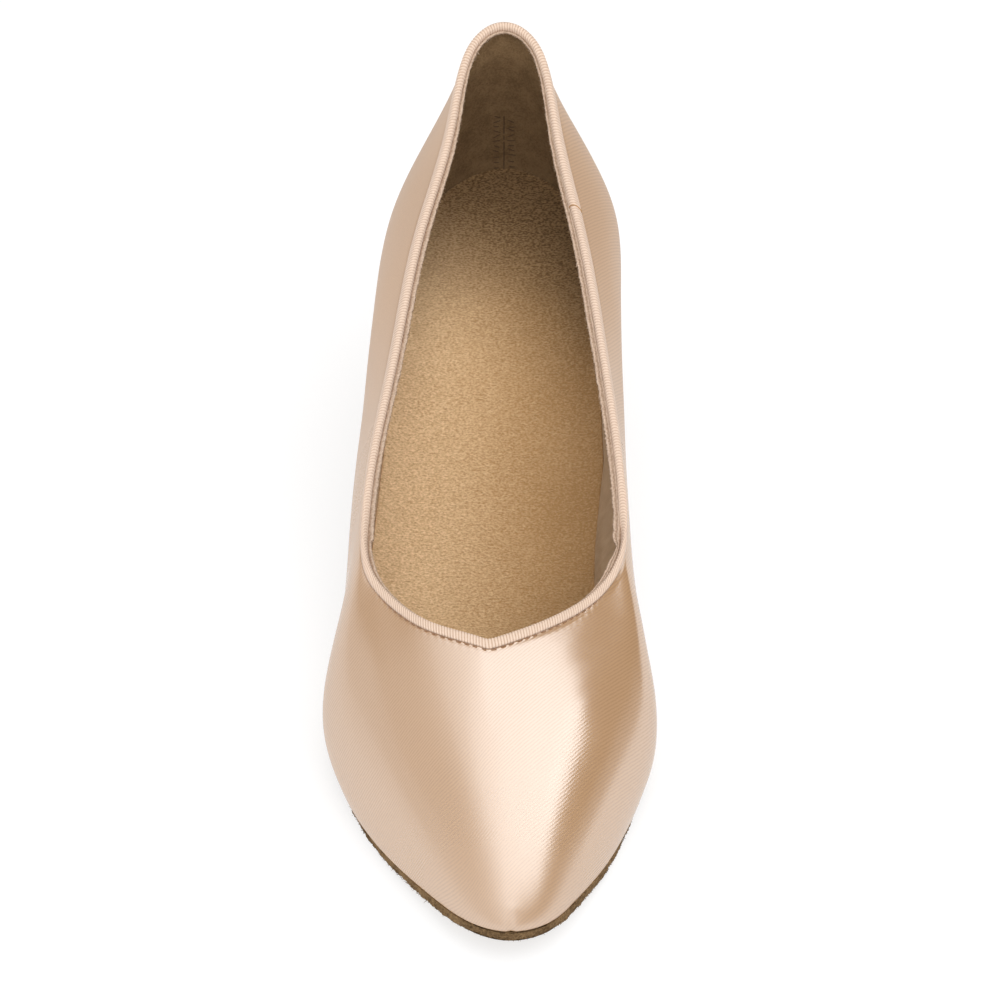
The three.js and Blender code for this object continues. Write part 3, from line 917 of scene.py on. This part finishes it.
def make_collar_stitches():
    """Stitches along the outside of the collar.

    They lie at one depth round the throat, and are drawn up under the ribbon along the sides.
    """
    shifts = random.uniform(-STITCH_SHIFT, STITCH_SHIFT, STITCH_COUNT)
    distance = (np.arange(STITCH_COUNT) + shifts) / STITCH_COUNT * COLLAR_LENGTH
    t = collar_place(distance)
    w = at_depth(t, STITCH_DEPTH - STITCH_DRAWN_UP * (1 - throat_share(t)))
    centres = off_wall(t, w, corner_relief(t, w))
    ways = unit(outside(t + 0.5, w) - outside(t - 0.5, w))
    lifts = wall_normal(t, w)
    points, faces = bent_stitches(centres, ways, lifts, STITCH_LENGTH, STITCH_RADIUS, STITCH_ARCH)
    make_piece("ribbon_stitches", points, faces, stitch_thread, "ribbon", "topline_binding")


make_collar_stitches()

# %% Thread over the ribbon's join
JOIN_PROUD = 1.1
JOIN_RADIUS = 0.14
JOIN_SLANT = (-0.5, 0.3)


def make_join_thread():
    """A thread wound over the ribbon where its ends meet: the ribbon's profile, a little proud and aslant."""
    depth, side, over, shown = ribbon_profile()
    outline = shown > 0
    distance = RIBBON_JOIN + np.linspace(*JOIN_SLANT, np.sum(outline))
    path = ribbon_place(distance, depth[outline], side[outline] * JOIN_PROUD, over[outline] * JOIN_PROUD)
    points, faces = tubes(path[None], np.full((1, len(path)), JOIN_RADIUS), 8)
    make_piece("ribbon_join_thread", points, faces, join_thread, "ribbon", "topline_binding")


make_join_thread()


# %% Raw inner edge of the ribbon
def slow_noise(distance, waves, strength):
    """A smooth uneven line: a sum of sines with random phases, the shorter ones weaker."""
    count = np.arange(1, waves + 1)
    phase = random.uniform(0, 2 * np.pi, waves)
    turns = random.integers(5, 90, waves)
    angle = distance[:, None] / COLLAR_LENGTH * 2 * np.pi * turns + phase
    return strength * np.sum(np.sin(angle) / np.sqrt(count), axis=1)


def lumpy(count, columns, reach, strength):
    """Random values averaged under a bell along their first axis, so that neighbours agree over the reach."""
    bell = np.hanning(reach + 2)[1:-1]
    rough = random.normal(0, strength, (count + reach - 1, columns))
    windows = np.lib.stride_tricks.sliding_window_view(rough, reach, axis=0)
    return windows @ bell / np.sqrt(np.sum(bell**2))


RAW_START = 0.8
RAW_INNER = 1.3
RAW_DROP = 0.7
RAW_FALL = 0.5
RAW_THICK = 0.45
RAW_STEPS = 2600
RAW_STATIONS = [0, 20, 40, 141.8, 142.8, 150, 165, 222, 236, 241, 243, 300, 345, 365]
RAW_WIDTHS = [0.7, 0.8, 1.15, 1.2, 0.5, 0.7, 0.4, 0.4, 1.2, 0.3, 1.6, 1.6, 1.1, 0.8]


def collar_inward(t):
    """Level direction from the collar into the opening: the way along it, turned a quarter to its left."""
    step = 0.5
    return unit(np.cross(UP, (collar_line(t + step) - collar_line(t - step)) * LEVEL))


def raw_width(distance):
    """How far the raw flap shows beyond the ribbon, blended between stations, with a cut on either side."""
    return np.interp(np.mod(distance, COLLAR_LENGTH), RAW_STATIONS, RAW_WIDTHS, period=COLLAR_LENGTH)


def raw_edge_points(distance, share, over):
    """Points of the raw flap, its share from 0 under the ribbon to 1 at its torn border.

    It runs level into the opening and falls a little on the way, and over is how far above the flap's middle
    the point lies.
    """
    t = collar_place(distance)
    reach = RAW_START + share * (RAW_INNER - RAW_START + raw_width(distance))
    fall = RAW_DROP + share * RAW_FALL - over
    return collar_line(t) + collar_inward(t) * reach[..., None] - UP * fall[..., None]


def make_raw_edge():
    """A fuzzy strip with a border that wavers.

    It has one ridge on the lateral side, and two with a sewn groove between them on the medial side.
    """
    distance = np.arange(RAW_STEPS)[:, None] / RAW_STEPS * COLLAR_LENGTH
    width = 0.95 + slow_noise(distance[:, 0], 12, 0.012)[:, None] + lumpy(RAW_STEPS, 1, 3, 0.035)
    upper = np.linspace(0, 1, 16)
    one = hump(upper, 0.8, 0.36)
    two = hump(upper, 0.36, 0.15) + hump(upper, 0.85, 0.2)
    ridge = lerp(one, two, smooth(200, 230, distance))
    share = np.concatenate([upper, upper[::-5]])
    under = np.zeros((RAW_STEPS, len(share) - len(upper)))
    over = np.hstack([ridge * 0.8 - 0.15, under - 0.4]) * RAW_THICK
    fuzz = random.normal(0, 0.03, over.shape)
    points = raw_edge_points(distance + 0 * share, share * width, over + fuzz)
    faces = grid_faces(*points.shape[:2], closed_rows=True)
    # The ridge share also sets painted shade: darker in the groove and on the hidden underside.
    ridge_and_shade = np.hstack([ridge, under])
    make_piece("ribbon_raw_edge", points, faces, raw_edge, "ribbon", "topline_binding", ridge=ridge_and_shade)


make_raw_edge()

# %% [markdown]
# ## Frayed threads
# Where the ribbon was cut, single threads stick out of its torn border. A hair system would grow them, but
# hair isn't a mesh, so each thread is a tapering tube with three sides, bent a little, and all of them are
# one piece.

# %% Frayed threads
FRAY_COUNT = 2000


def spikes(roots, ways, lengths, thickness, curl):
    """Tapering hairs: each runs its length along its way, bent aside by the share squared times its curl."""
    share = np.linspace(0, 1, 4)[:, None]
    paths = roots[:, None] + ways[:, None] * share * lengths[:, None, None] + curl[:, None] * share**2
    radii = thickness[:, None] * (1 - 0.85 * share[:, 0])
    return tubes(paths, radii, 3)


def make_fray():
    """Hairs rooted near the torn border that run on past it, spread and curled at random."""
    distance = random.uniform(0, COLLAR_LENGTH, FRAY_COUNT)
    share = random.uniform(0.7, 0.98, FRAY_COUNT)
    roots = raw_edge_points(distance, share, random.uniform(-0.1, 0.15, FRAY_COUNT))
    level = np.zeros(FRAY_COUNT)
    down = unit(raw_edge_points(distance, share + 0.05, level) - raw_edge_points(distance, share, level))
    ways = unit(down + random.normal(0, 0.5, (FRAY_COUNT, 3)))
    lengths = random.uniform(0.15, 0.55, FRAY_COUNT)
    curl = random.normal(0, 0.12, (FRAY_COUNT, 3))
    points, faces = spikes(roots, ways, lengths, random.uniform(0.04, 0.08, FRAY_COUNT), curl)
    ridge = np.ones(len(points))
    make_piece("ribbon_fray", points, faces, raw_edge, "ribbon", "topline_binding", ridge=ridge)


make_fray()

# %% [markdown]
# ## Back seam
# The heel lining is closed at the back by a seam, sewn down on either side. A texture could paint the
# stitches, but they catch the light from above, so they are bent tubes like those of the ribbon, a little
# uneven.

# %% Seam at the back of the heel lining
SEAM_STEP = 2.9
SEAM_HALF = 2.3
SEAM_RADIUS = 0.15
SEAM_ARCH = 0.06
# Lowest and highest stitch as shares of the wall, and the millimetres of back wall per share.
SEAM_SPAN = (0.05, 0.4)
BACK_WALL = 90


def make_back_seam():
    """Two columns of short level stitches up the inside of the back.

    The upright stitches of the closed seam stand between them.
    """
    heights = np.arange(*SEAM_SPAN, SEAM_STEP / BACK_WALL)
    column = np.repeat([-1.0, 1.0, 0.0], len(heights))
    w = np.tile(heights, 3) + column * 0.012 + random.normal(0, 0.004, len(column))
    t = column * SEAM_HALF + random.normal(0, 0.12, len(column)) * np.abs(column)
    centres = off_wall(t, w, -wall_thickness(t, w) - SUEDE_PROUD)
    level = outside(t + 0.5, w) - outside(t - 0.5, w) + UP * random.normal(0, 0.3, (len(t), 1))
    upright = outside(t, w + 0.01) - outside(t, w - 0.01)
    ways = unit(np.where(column[:, None] == 0, upright, level))
    lengths = random.uniform(1.3, 2.3, (len(t), 1, 1))
    points, faces = bent_stitches(centres, ways, -wall_normal(t, w), lengths, SEAM_RADIUS, SEAM_ARCH)
    make_piece("back_seam_stitches", points, faces, seam_thread, "sock", "upper")


make_back_seam()

# %% [markdown]
# ## Sock and sole
# The foot stands on a tan suede sock, and the sole is one sheet of soft suede whose cut edge is rough with
# loose fibres. Both are plates. An outline could be filled and given a thickness, but a row of rungs from the
# lateral to the medial edge lets each edge have its own shape. Each rung is a closed loop: over the top, down
# one edge, back underneath and up the other edge.

# %% Sock and sole finishes
SOCK_DEEP = colour(168, 130, 86)
# The lightest sock colour, reached where painted light falls on the lateral side.
SOCK_PAINTED_LIT = colour(244, 210, 167)
# Darker copies of the sock's suede, used for the painted shade over the heel.
SOCK_SHADE_DEEP = colour(98, 73, 45)
SOCK_SHADE_NAP = colour(158, 127, 90)
# Where the painted light and the painted shade begin and where they are full, across and along the shoe in
# metres.
SOCK_PAINTED_LIGHT = (0.024, -0.028)
SOCK_PAINTED_SHADE = (0.045, 0.106)
# How far the painted shade over the heel leans towards the medial side.
SOCK_SHADE_ASLANT = 0.67
SOLE_DEEP = colour(94, 72, 48)
SOLE_LIGHT = colour(150, 121, 86)


def sock_finish():
    """Suede: a fine nap that lies across the foot.

    It has painted light towards the lateral side, and painted shade over the heel that reaches further
    forward on the medial side.
    """
    finish = Finish("sock_suede", Roughness=0.95, Specular_IOR_Level=0.12, Sheen_Weight=0.1)
    place = finish.place()
    nap = finish.noise(finish.stretched(place, (1500.0, 2700.0, 2000.0)), 1.0, 1.0) - 0.5
    broad = finish.noise(place, 45.0, 3.0)
    side, along, _ = finish.parts(place)
    # Painted light: the sock turns lighter towards the lateral side.
    painted_light = finish.between(side + broad * 0.01, *SOCK_PAINTED_LIGHT)
    # Painted shade: the sock turns darker over the heel, further forward on the medial side.
    darkening = finish.between(along + side * SOCK_SHADE_ASLANT + broad * 0.012, *SOCK_PAINTED_SHADE)
    lightness = nap * (painted_light * 0.75 + 0.75) + broad * 0.24 + painted_light * 0.6 - 0.04
    nap_with_painted_light = finish.blend(lightness, SOCK_DEEP, SOCK_PAINTED_LIT)
    painted_shade_colour = finish.blend(nap * 3.1 + 0.5, SOCK_SHADE_DEEP, SOCK_SHADE_NAP)
    return finish.shade(Base_Color=finish.blend(darkening, nap_with_painted_light, painted_shade_colour), Normal=finish.bump(nap, 0.3))


sock_suede = sock_finish()
sole_suede = suede_finish("sole_suede", SOLE_DEEP, SOLE_LIGHT, 1500.0, 0.35)
print("suede finishes ready")


# %% Plates between two outlines
def rung_pairs(count, first, lateral_end, medial_end):
    """Places that face each other across a sole, closer together where the outline turns at toe or heel."""
    even = np.linspace(0, 1, count)
    share = even - 0.6 * np.sin(2 * np.pi * even) / (2 * np.pi)
    return lerp(TOE - first, lateral_end, share), lerp(TOE + first, medial_end, share)


def rung_points(lateral, medial, across):
    """Points on straight rungs between two edges at the given shares."""
    return lerp(lateral[:, None], medial[:, None], across[None, :, None])


SOCK_CLIMB = {"along": [0, 40, 90, 125, 160], "lateral": [0.5, 1, 1.5, 0.8, 0], "medial": [0.5, 1.5, 2, 0, 0]}
SOCK_CURL = 5
SOCK_ROLL = 0.7
SOCK_TURN = 1.2


def make_sock():
    """The insole with its sock, whose edge follows the wall's slope and climbs it, as a curl squared."""
    clear = WALL + GAP
    lateral, medial = rung_pairs(260, SOCK_TURN, SOCK_TURN, AROUND - SOCK_TURN)

    def climb(t, side):
        """How far the sock's edge climbs the wall."""
        return np.interp(-foot_line(t)[:, 1], SOCK_CLIMB["along"], SOCK_CLIMB[side])

    def low_edge(t):
        """The foot line moved in by the wall's thickness, measured level."""
        slope = size_of(wall_normal(t, 0.0) * LEVEL)
        return foot_line(t) - outwards(t) * WALL / slope

    def top_edge(t, side):
        """The first point up the inside of the wall, a gap clear of it, that is as high as the sock."""
        steps = np.linspace(0, 0.4, 400)[None]
        wall = off_wall(t[:, None], steps, np.full(steps.shape, -clear))
        above = wall[..., 2] - foot_height(-wall[..., 1]) - INSOLE_THICK - climb(t, side)[:, None]
        first = np.argmax(above > 0, axis=1)
        return wall[np.arange(len(t)), first]

    across = (1 - np.cos(np.linspace(0, np.pi, 90))) / 2
    padded = top_edge(medial, "medial") - outwards(medial) * arch_pad(medial)[:, None]
    top = rung_points(top_edge(lateral, "lateral"), padded, across)
    breadth = size_of(top[:, -1] - top[:, 0])
    from_edge = np.minimum(across, 1 - across) * breadth
    curl = lerp(climb(lateral, "lateral")[:, None], climb(medial, "medial")[:, None], across > 0.5)
    curl = curl * np.clip(1 - from_edge / SOCK_CURL, 0, 1) ** 2
    roll = SOCK_ROLL * (1 - np.sqrt(1 - np.clip(1 - from_edge / SOCK_ROLL, 0, 1) ** 2))
    x, y = top[..., 0], top[..., 1]
    uneven = 0.06 * np.sin(x / 6.1 + y / 9.7) + 0.05 * np.sin(x / 3.7 - y / 5.3)
    lift = INSOLE_THICK + curl - roll + uneven * smooth(0, 6, from_edge)
    top[..., 2] = foot_height(-top[..., 1]) + lift
    low = rung_points(low_edge(lateral), low_edge(medial), across[::-9])
    low[..., 2] = foot_height(-low[..., 1])
    points = np.concatenate([top, low], axis=1)
    faces = grid_faces(*points.shape[:2], closed_rows=False)
    make_piece("suede_sock", points, faces, sock_suede, "sock", "insole")


make_sock()

# %% Outsole
EDGE_AT_TOE = 0.3
EDGE_AT_WAIST = -1.4
EDGE_TURN = (150, 215)
TORN_FINE = 0.13
TORN_COARSE = 0.15


def sole_edge(t):
    """The foot line moved out at the toe and in under the waist."""
    foot = foot_line(t)
    reach = lerp(EDGE_AT_WAIST, EDGE_AT_TOE, smooth(*EDGE_TURN, -foot[..., 1]))
    return foot + outwards(t) * reach[..., None]


def make_outsole():
    """Each rung's edge leaves the top with a small round, bulges, and ends below in a rough torn corner."""
    end = BREAST + GAP
    lateral, medial = rung_pairs(520, 1.0, place_along(end, 0, TOE), place_along(end, TOE, AROUND))
    edges = sole_edge(lateral), sole_edge(medial)
    inner = np.linspace(0.02, 0.98, 24)
    drop = np.array([0.0, 0.12, 0.35, 0.6, 0.85, 1.0])
    bulge = np.array([-0.25, 0.0, 0.06, 0.05, 0.0, -0.35])

    def side(places, edge):
        """Points down one cut edge, each moved out by the bulge and by fine and coarse torn lumps."""
        torn = random.uniform(-TORN_FINE, TORN_FINE, (len(places), len(drop)))
        torn = torn + lumpy(len(places), len(drop), 9, TORN_COARSE)
        torn = torn * np.array([0.2, 0.5, 0.9, 1, 1, 1])
        points = edge[:, None] + outwards(places)[:, None] * (bulge + torn)[..., None]
        height = underside_height(-points[..., 1])
        points[..., 2] = height + OUTSOLE_THICK * (1 - drop)
        return points

    top = rung_points(*edges, inner)
    top[..., 2] = seat_height(-top[..., 1])
    low = rung_points(edges[1], edges[0], inner)
    low[..., 2] = underside_height(-low[..., 1])
    points = np.concatenate([top, side(medial, edges[1]), low, side(lateral, edges[0])[:, ::-1]], axis=1)
    faces = grid_faces(*points.shape[:2], closed_rows=False)
    make_piece("suede_outsole", points, faces, sole_suede, "sole_suede", "outsole")


make_outsole()

# %% Loose fibres along the sole's cut edge
FIBRE_COUNT = 3400
FIBRE_START = 95
FIBRE_ROOT = 0.15
FLOOR_CLEAR = 0.02


def make_sole_fibres():
    """Hairs along the cut edge from the waist round the toe, pointing outwards and a little down."""
    t = random.uniform(place_along(FIBRE_START, 0, TOE), place_along(FIBRE_START, TOE, AROUND), FIBRE_COUNT)
    way_out = outwards(t)
    roots = sole_edge(t) - way_out * FIBRE_ROOT
    share = random.beta(1.2, 2.2, FIBRE_COUNT)
    roots[:, 2] = underside_height(-roots[:, 1]) + share * OUTSOLE_THICK
    ways = unit(way_out + random.normal(0, 0.45, (FIBRE_COUNT, 3)) - UP * 0.35)
    lengths = random.gamma(3.0, 0.075, FIBRE_COUNT) + 0.12
    curl = random.normal(0, 0.06, (FIBRE_COUNT, 3))
    points, faces = spikes(roots, ways, lengths, random.uniform(0.05, 0.1, FIBRE_COUNT), curl)
    points[:, 2] = np.maximum(points[:, 2], FLOOR_CLEAR)
    make_piece("sole_edge_fibres", points, faces, sole_suede, "sole_suede", "outsole")


make_sole_fibres()

# %% [markdown]
# ## Heel
# The heel is a block covered in the same satin. From the seat it narrows to a stem and opens out again to the
# tread. It could be carved from a cage, but three outlines, seat, stem and tread, blended by the height, are
# what a heel maker's templates give.

# %% Heel outlines
STEM = {"half": 10.4, "back": 9, "front": 31}
SEAT_TAPER = 2.6
TREAD_FLARE = 3
HEEL_SQUARENESS = 0.78
BREAST_HOLLOW = 2.5
TOP_PIECE_THICK = 5
HEEL_RING = 180
BREAST_STEPS = 48


def across_breast(start, end, hollow):
    """A line from corner to corner of the breast, sunk as a half sine."""
    share = (np.arange(BREAST_STEPS - 1) + 1)[:, None] / BREAST_STEPS
    line = lerp(start, end, share)
    line[:, 1] += hollow * np.sin(np.pi * share[:, 0])
    return line


def level_section(half, back, front, hollow):
    """A D: across is the half width times a power of the cosine, along is the depth times one of the sine."""
    angle = np.linspace(0, np.pi, HEEL_RING + 1)
    side = np.sign(np.cos(angle)) * np.abs(np.cos(angle)) ** HEEL_SQUARENESS
    depth = np.abs(np.sin(angle)) ** HEEL_SQUARENESS
    ring = np.stack([-half * side, -(front - (front - back) * depth), 0 * angle], -1)
    return np.vstack([ring, across_breast(ring[-1], ring[0], hollow)])


def seat_section():
    """The foot line round the back of the heel, closed by a straight breast."""
    start = place_along(BREAST, 0, TOE)
    end = place_along(BREAST, TOE, AROUND) - AROUND
    ring = foot_line(np.linspace(start, end, HEEL_RING + 1)) * LEVEL
    return np.vstack([ring, across_breast(ring[-1], ring[0], 0)])


def rounded(ring, reach):
    """Softens the corners of a closed outline by averaging each point with its neighbours on both sides."""
    window = np.hanning(2 * reach + 3)[1:-1]
    shifted = np.stack([np.roll(ring, k, axis=0) for k in range(-reach, reach + 1)])
    return np.tensordot(window / window.sum(), shifted, axes=1)


seat = rounded(seat_section(), 2)
stem = rounded(level_section(**STEM, hollow=BREAST_HOLLOW), 2)
tread = rounded(level_section(**TREAD, hollow=0), 2)
print("heel outlines:", len(seat), "points each")

# %% Heel cover
HEEL_ROWS = 90


def make_heel():
    """Blends the three outlines from the seat down to the tread, with both rims turned in a little.

    A point is the stem, plus the seat less the stem times a power of what is left of the height, plus the
    tread less the stem times a power of the fall.
    """
    down = np.linspace(0, 1, HEEL_ROWS)[:, None, None]
    ring = stem + (seat - stem) * (1 - down) ** SEAT_TAPER + (tread - stem) * down**TREAD_FLARE
    floor = TOP_PIECE_THICK + GAP
    ring[..., 2] = lerp(seat_height(-seat[:, 1]), floor, down[..., 0])
    middle = ring.mean(axis=1, keepdims=True) * LEVEL + ring * UP
    turned_in = np.concatenate([[0.035, 0.012], np.zeros(HEEL_ROWS - 4), [0.01, 0.03]])[:, None, None]
    ring = lerp(ring, middle, turned_in)
    steps = size_of(np.diff(ring, axis=1, prepend=ring[:, -1:]))[..., 0]
    pattern = np.stack([np.cumsum(steps, axis=1), ring[..., 2], 0 * steps], -1)
    faces = grid_faces(*ring.shape[:2], closed_rows=False)
    make_piece("heel_cover", ring, faces, heel_satin, "heel_satin", "heel", pattern=pattern)


make_heel()

# %% [markdown]
# ## Top piece
# The top piece is the small slab of tread leather that the heel stands on, and a cobbler changes it when it
# is worn. A bevelled extrusion would do. The heel's own tread outline, stacked in a few rows, is sure to meet
# it.

# %% Top piece
TREAD_DEEP = colour(62, 50, 38)
TREAD_WORN = colour(98, 80, 60)
BEVEL = 0.4


def make_top_piece():
    """The tread outline straight down, with a small round at both rims."""
    angle = np.linspace(0, np.pi / 2, 5)
    inset = BEVEL * (1 - np.sin(angle))
    drop = BEVEL * (1 - np.cos(angle))
    insets = np.concatenate([inset, [0], inset[::-1]])
    heights = np.concatenate([TOP_PIECE_THICK - drop, [TOP_PIECE_THICK / 2], drop[::-1]])
    middle = tread.mean(axis=0)
    reach = size_of(tread - middle)
    rows = tread - (tread - middle) / reach * insets[:, None, None]
    rows[..., 2] = heights[:, None]
    faces = grid_faces(*rows.shape[:2], closed_rows=False)
    make_piece("heel_top_piece", rows, faces, tread_leather, "tread", "top_piece")


tread_leather = suede_finish("tread_leather", TREAD_DEEP, TREAD_WORN, 900.0, 0.15)
make_top_piece()

# %% [markdown]
# ## Stage, light and camera
# The shoe stands on a pale floor under a large overhead softbox, brightest a little to the right, with weak
# panels round it. Satin shows the shape of its lights, so the softbox is what draws the bright band down the
# toe. It is laid out in strips, so that the band can fade on one side and end sharply on the other.

# %% Floor
FLOOR_HALF = 4.0
FLOOR_GREY = (0.35, 0.35, 0.35, 1)
FLOOR_GLOW = 0.71


def make_floor():
    """One large square under the shoe that glows a little, as a lit backdrop does."""
    mesh = bpy.data.meshes.new("floor")
    corners = [(-FLOOR_HALF, -FLOOR_HALF, 0), (FLOOR_HALF, -FLOOR_HALF, 0), (FLOOR_HALF, FLOOR_HALF, 0)]
    mesh.from_pydata([*corners, (-FLOOR_HALF, FLOOR_HALF, 0)], [], [(0, 1, 2, 3)])
    finish = Finish("pale_floor", Roughness=0.9, Specular_IOR_Level=0.1, Emission_Strength=FLOOR_GLOW)
    mesh.materials.append(finish.shade(Base_Color=FLOOR_GREY, Emission_Color=(1, 1, 1, 1)))
    floor = bpy.data.objects.new("floor", mesh)
    bpy.context.scene.collection.objects.link(floor)
    print(f"floor: {2 * FLOOR_HALF:.0f} m square")


make_floor()


# %% Lights
def softbox(name, centre, target, size, radiance):
    """A rectangular light that gives the same radiance all over, whatever its size."""
    lamp = bpy.data.lights.new(name, "AREA")
    lamp.shape = "RECTANGLE"
    lamp.size, lamp.size_y = size
    lamp.energy = radiance * np.pi * size[0] * size[1]
    holder = bpy.data.objects.new(name, lamp)
    holder.location = centre
    holder.rotation_euler = (Vector(target) - Vector(centre)).to_track_quat("-Z", "Y").to_euler()
    bpy.context.scene.collection.objects.link(holder)


OVERHEAD = 1.0
AMBIENT = (0.08, 0.08, 0.08, 1)
# Left, right, front and back edge of each overhead strip in metres, and its radiance.
STRIPS = [
    (-1.7, -0.75, -0.95, 0.68, 0.46),
    (-0.75, -0.5, -0.95, 0.68, 0.6),
    (-0.5, -0.3, -0.95, 0.68, 1.05),
    (-0.3, -0.1, -0.95, 0.68, 1.7),
    (-0.1, 0.3, -0.95, 0.68, 2.1),
    (0.3, 0.65, -0.95, 0.68, 2.2),
    (0.65, 0.75, -0.95, 0.68, 2.45),
    (0.75, 1.08, -0.95, 0.3, 2.55),
    (-1.7, -0.5, -2.2, -0.95, 0.72),
    (-0.5, 0.35, -2.2, -0.95, 1.4),
    (0.35, 1.08, -2.2, -0.95, 0.25),
]
for number, (left, right, front, back, radiance) in enumerate(STRIPS):
    centre = ((left + right) / 2, (front + back) / 2)
    span = (right - left, back - front)
    softbox(f"overhead_strip_{number}", (*centre, OVERHEAD), (*centre, 0), span, radiance)
softbox("left_panel_low", (-1.7, -0.1, 0.2), (0, -0.1, 0.2), (4.2, 0.4), 0.88)
softbox("left_panel_high", (-1.7, -0.1, 0.7), (0, -0.1, 0.7), (4.2, 0.6), 0.62)
softbox("right_panel_low", (1.7, -0.75, 0.08), (0, -0.75, 0.08), (2.9, 0.16), 0.5)
softbox("right_panel_high", (1.7, -0.75, 0.33), (0, -0.75, 0.33), (2.9, 0.34), 0.26)
softbox("front_left_panel", (-1.1, -2.2, 0.5), (-1.1, 0, 0.5), (1.2, 1.0), 0.68)
softbox("front_panel", (-0.075, -2.2, 0.5), (-0.075, 0, 0.5), (0.85, 1.0), 1.2)
softbox("front_right_panel", (1.0, -2.2, 0.5), (1.0, 0, 0.5), (1.3, 1.0), 0.4)

world = bpy.data.worlds.new("studio")
world.use_nodes = True
world.node_tree.nodes["Background"].inputs["Color"].default_value = AMBIENT
bpy.context.scene.world = world
bpy.context.scene.view_settings.view_transform = "Standard"
print("lights placed")

# %% [markdown]
# ## Camera
# The shoe is seen from above its toe with a long lens, which hardly narrows the heel. A camera can be aimed
# by a constraint, but this one looks straight along the shoe, so one tilt and a distance say all.

# %% Camera
ELEVATION = np.radians(44)
DISTANCE = 1.15
TARGET = (LAST_ORIGIN + np.array([-1.0025, -112.0035, 42])) / METRE
FOCAL_LENGTH = 170.98

lens = bpy.data.cameras.new("photo_camera")
lens.lens = FOCAL_LENGTH
camera = bpy.data.objects.new("photo_camera", lens)
camera.location = TARGET + DISTANCE * np.array([0, -np.cos(ELEVATION), np.sin(ELEVATION)])
camera.rotation_euler = (np.pi / 2 - ELEVATION, 0, 0)
bpy.context.scene.collection.objects.link(camera)
bpy.context.scene.camera = camera
print("camera at", np.round(camera.location, 3))
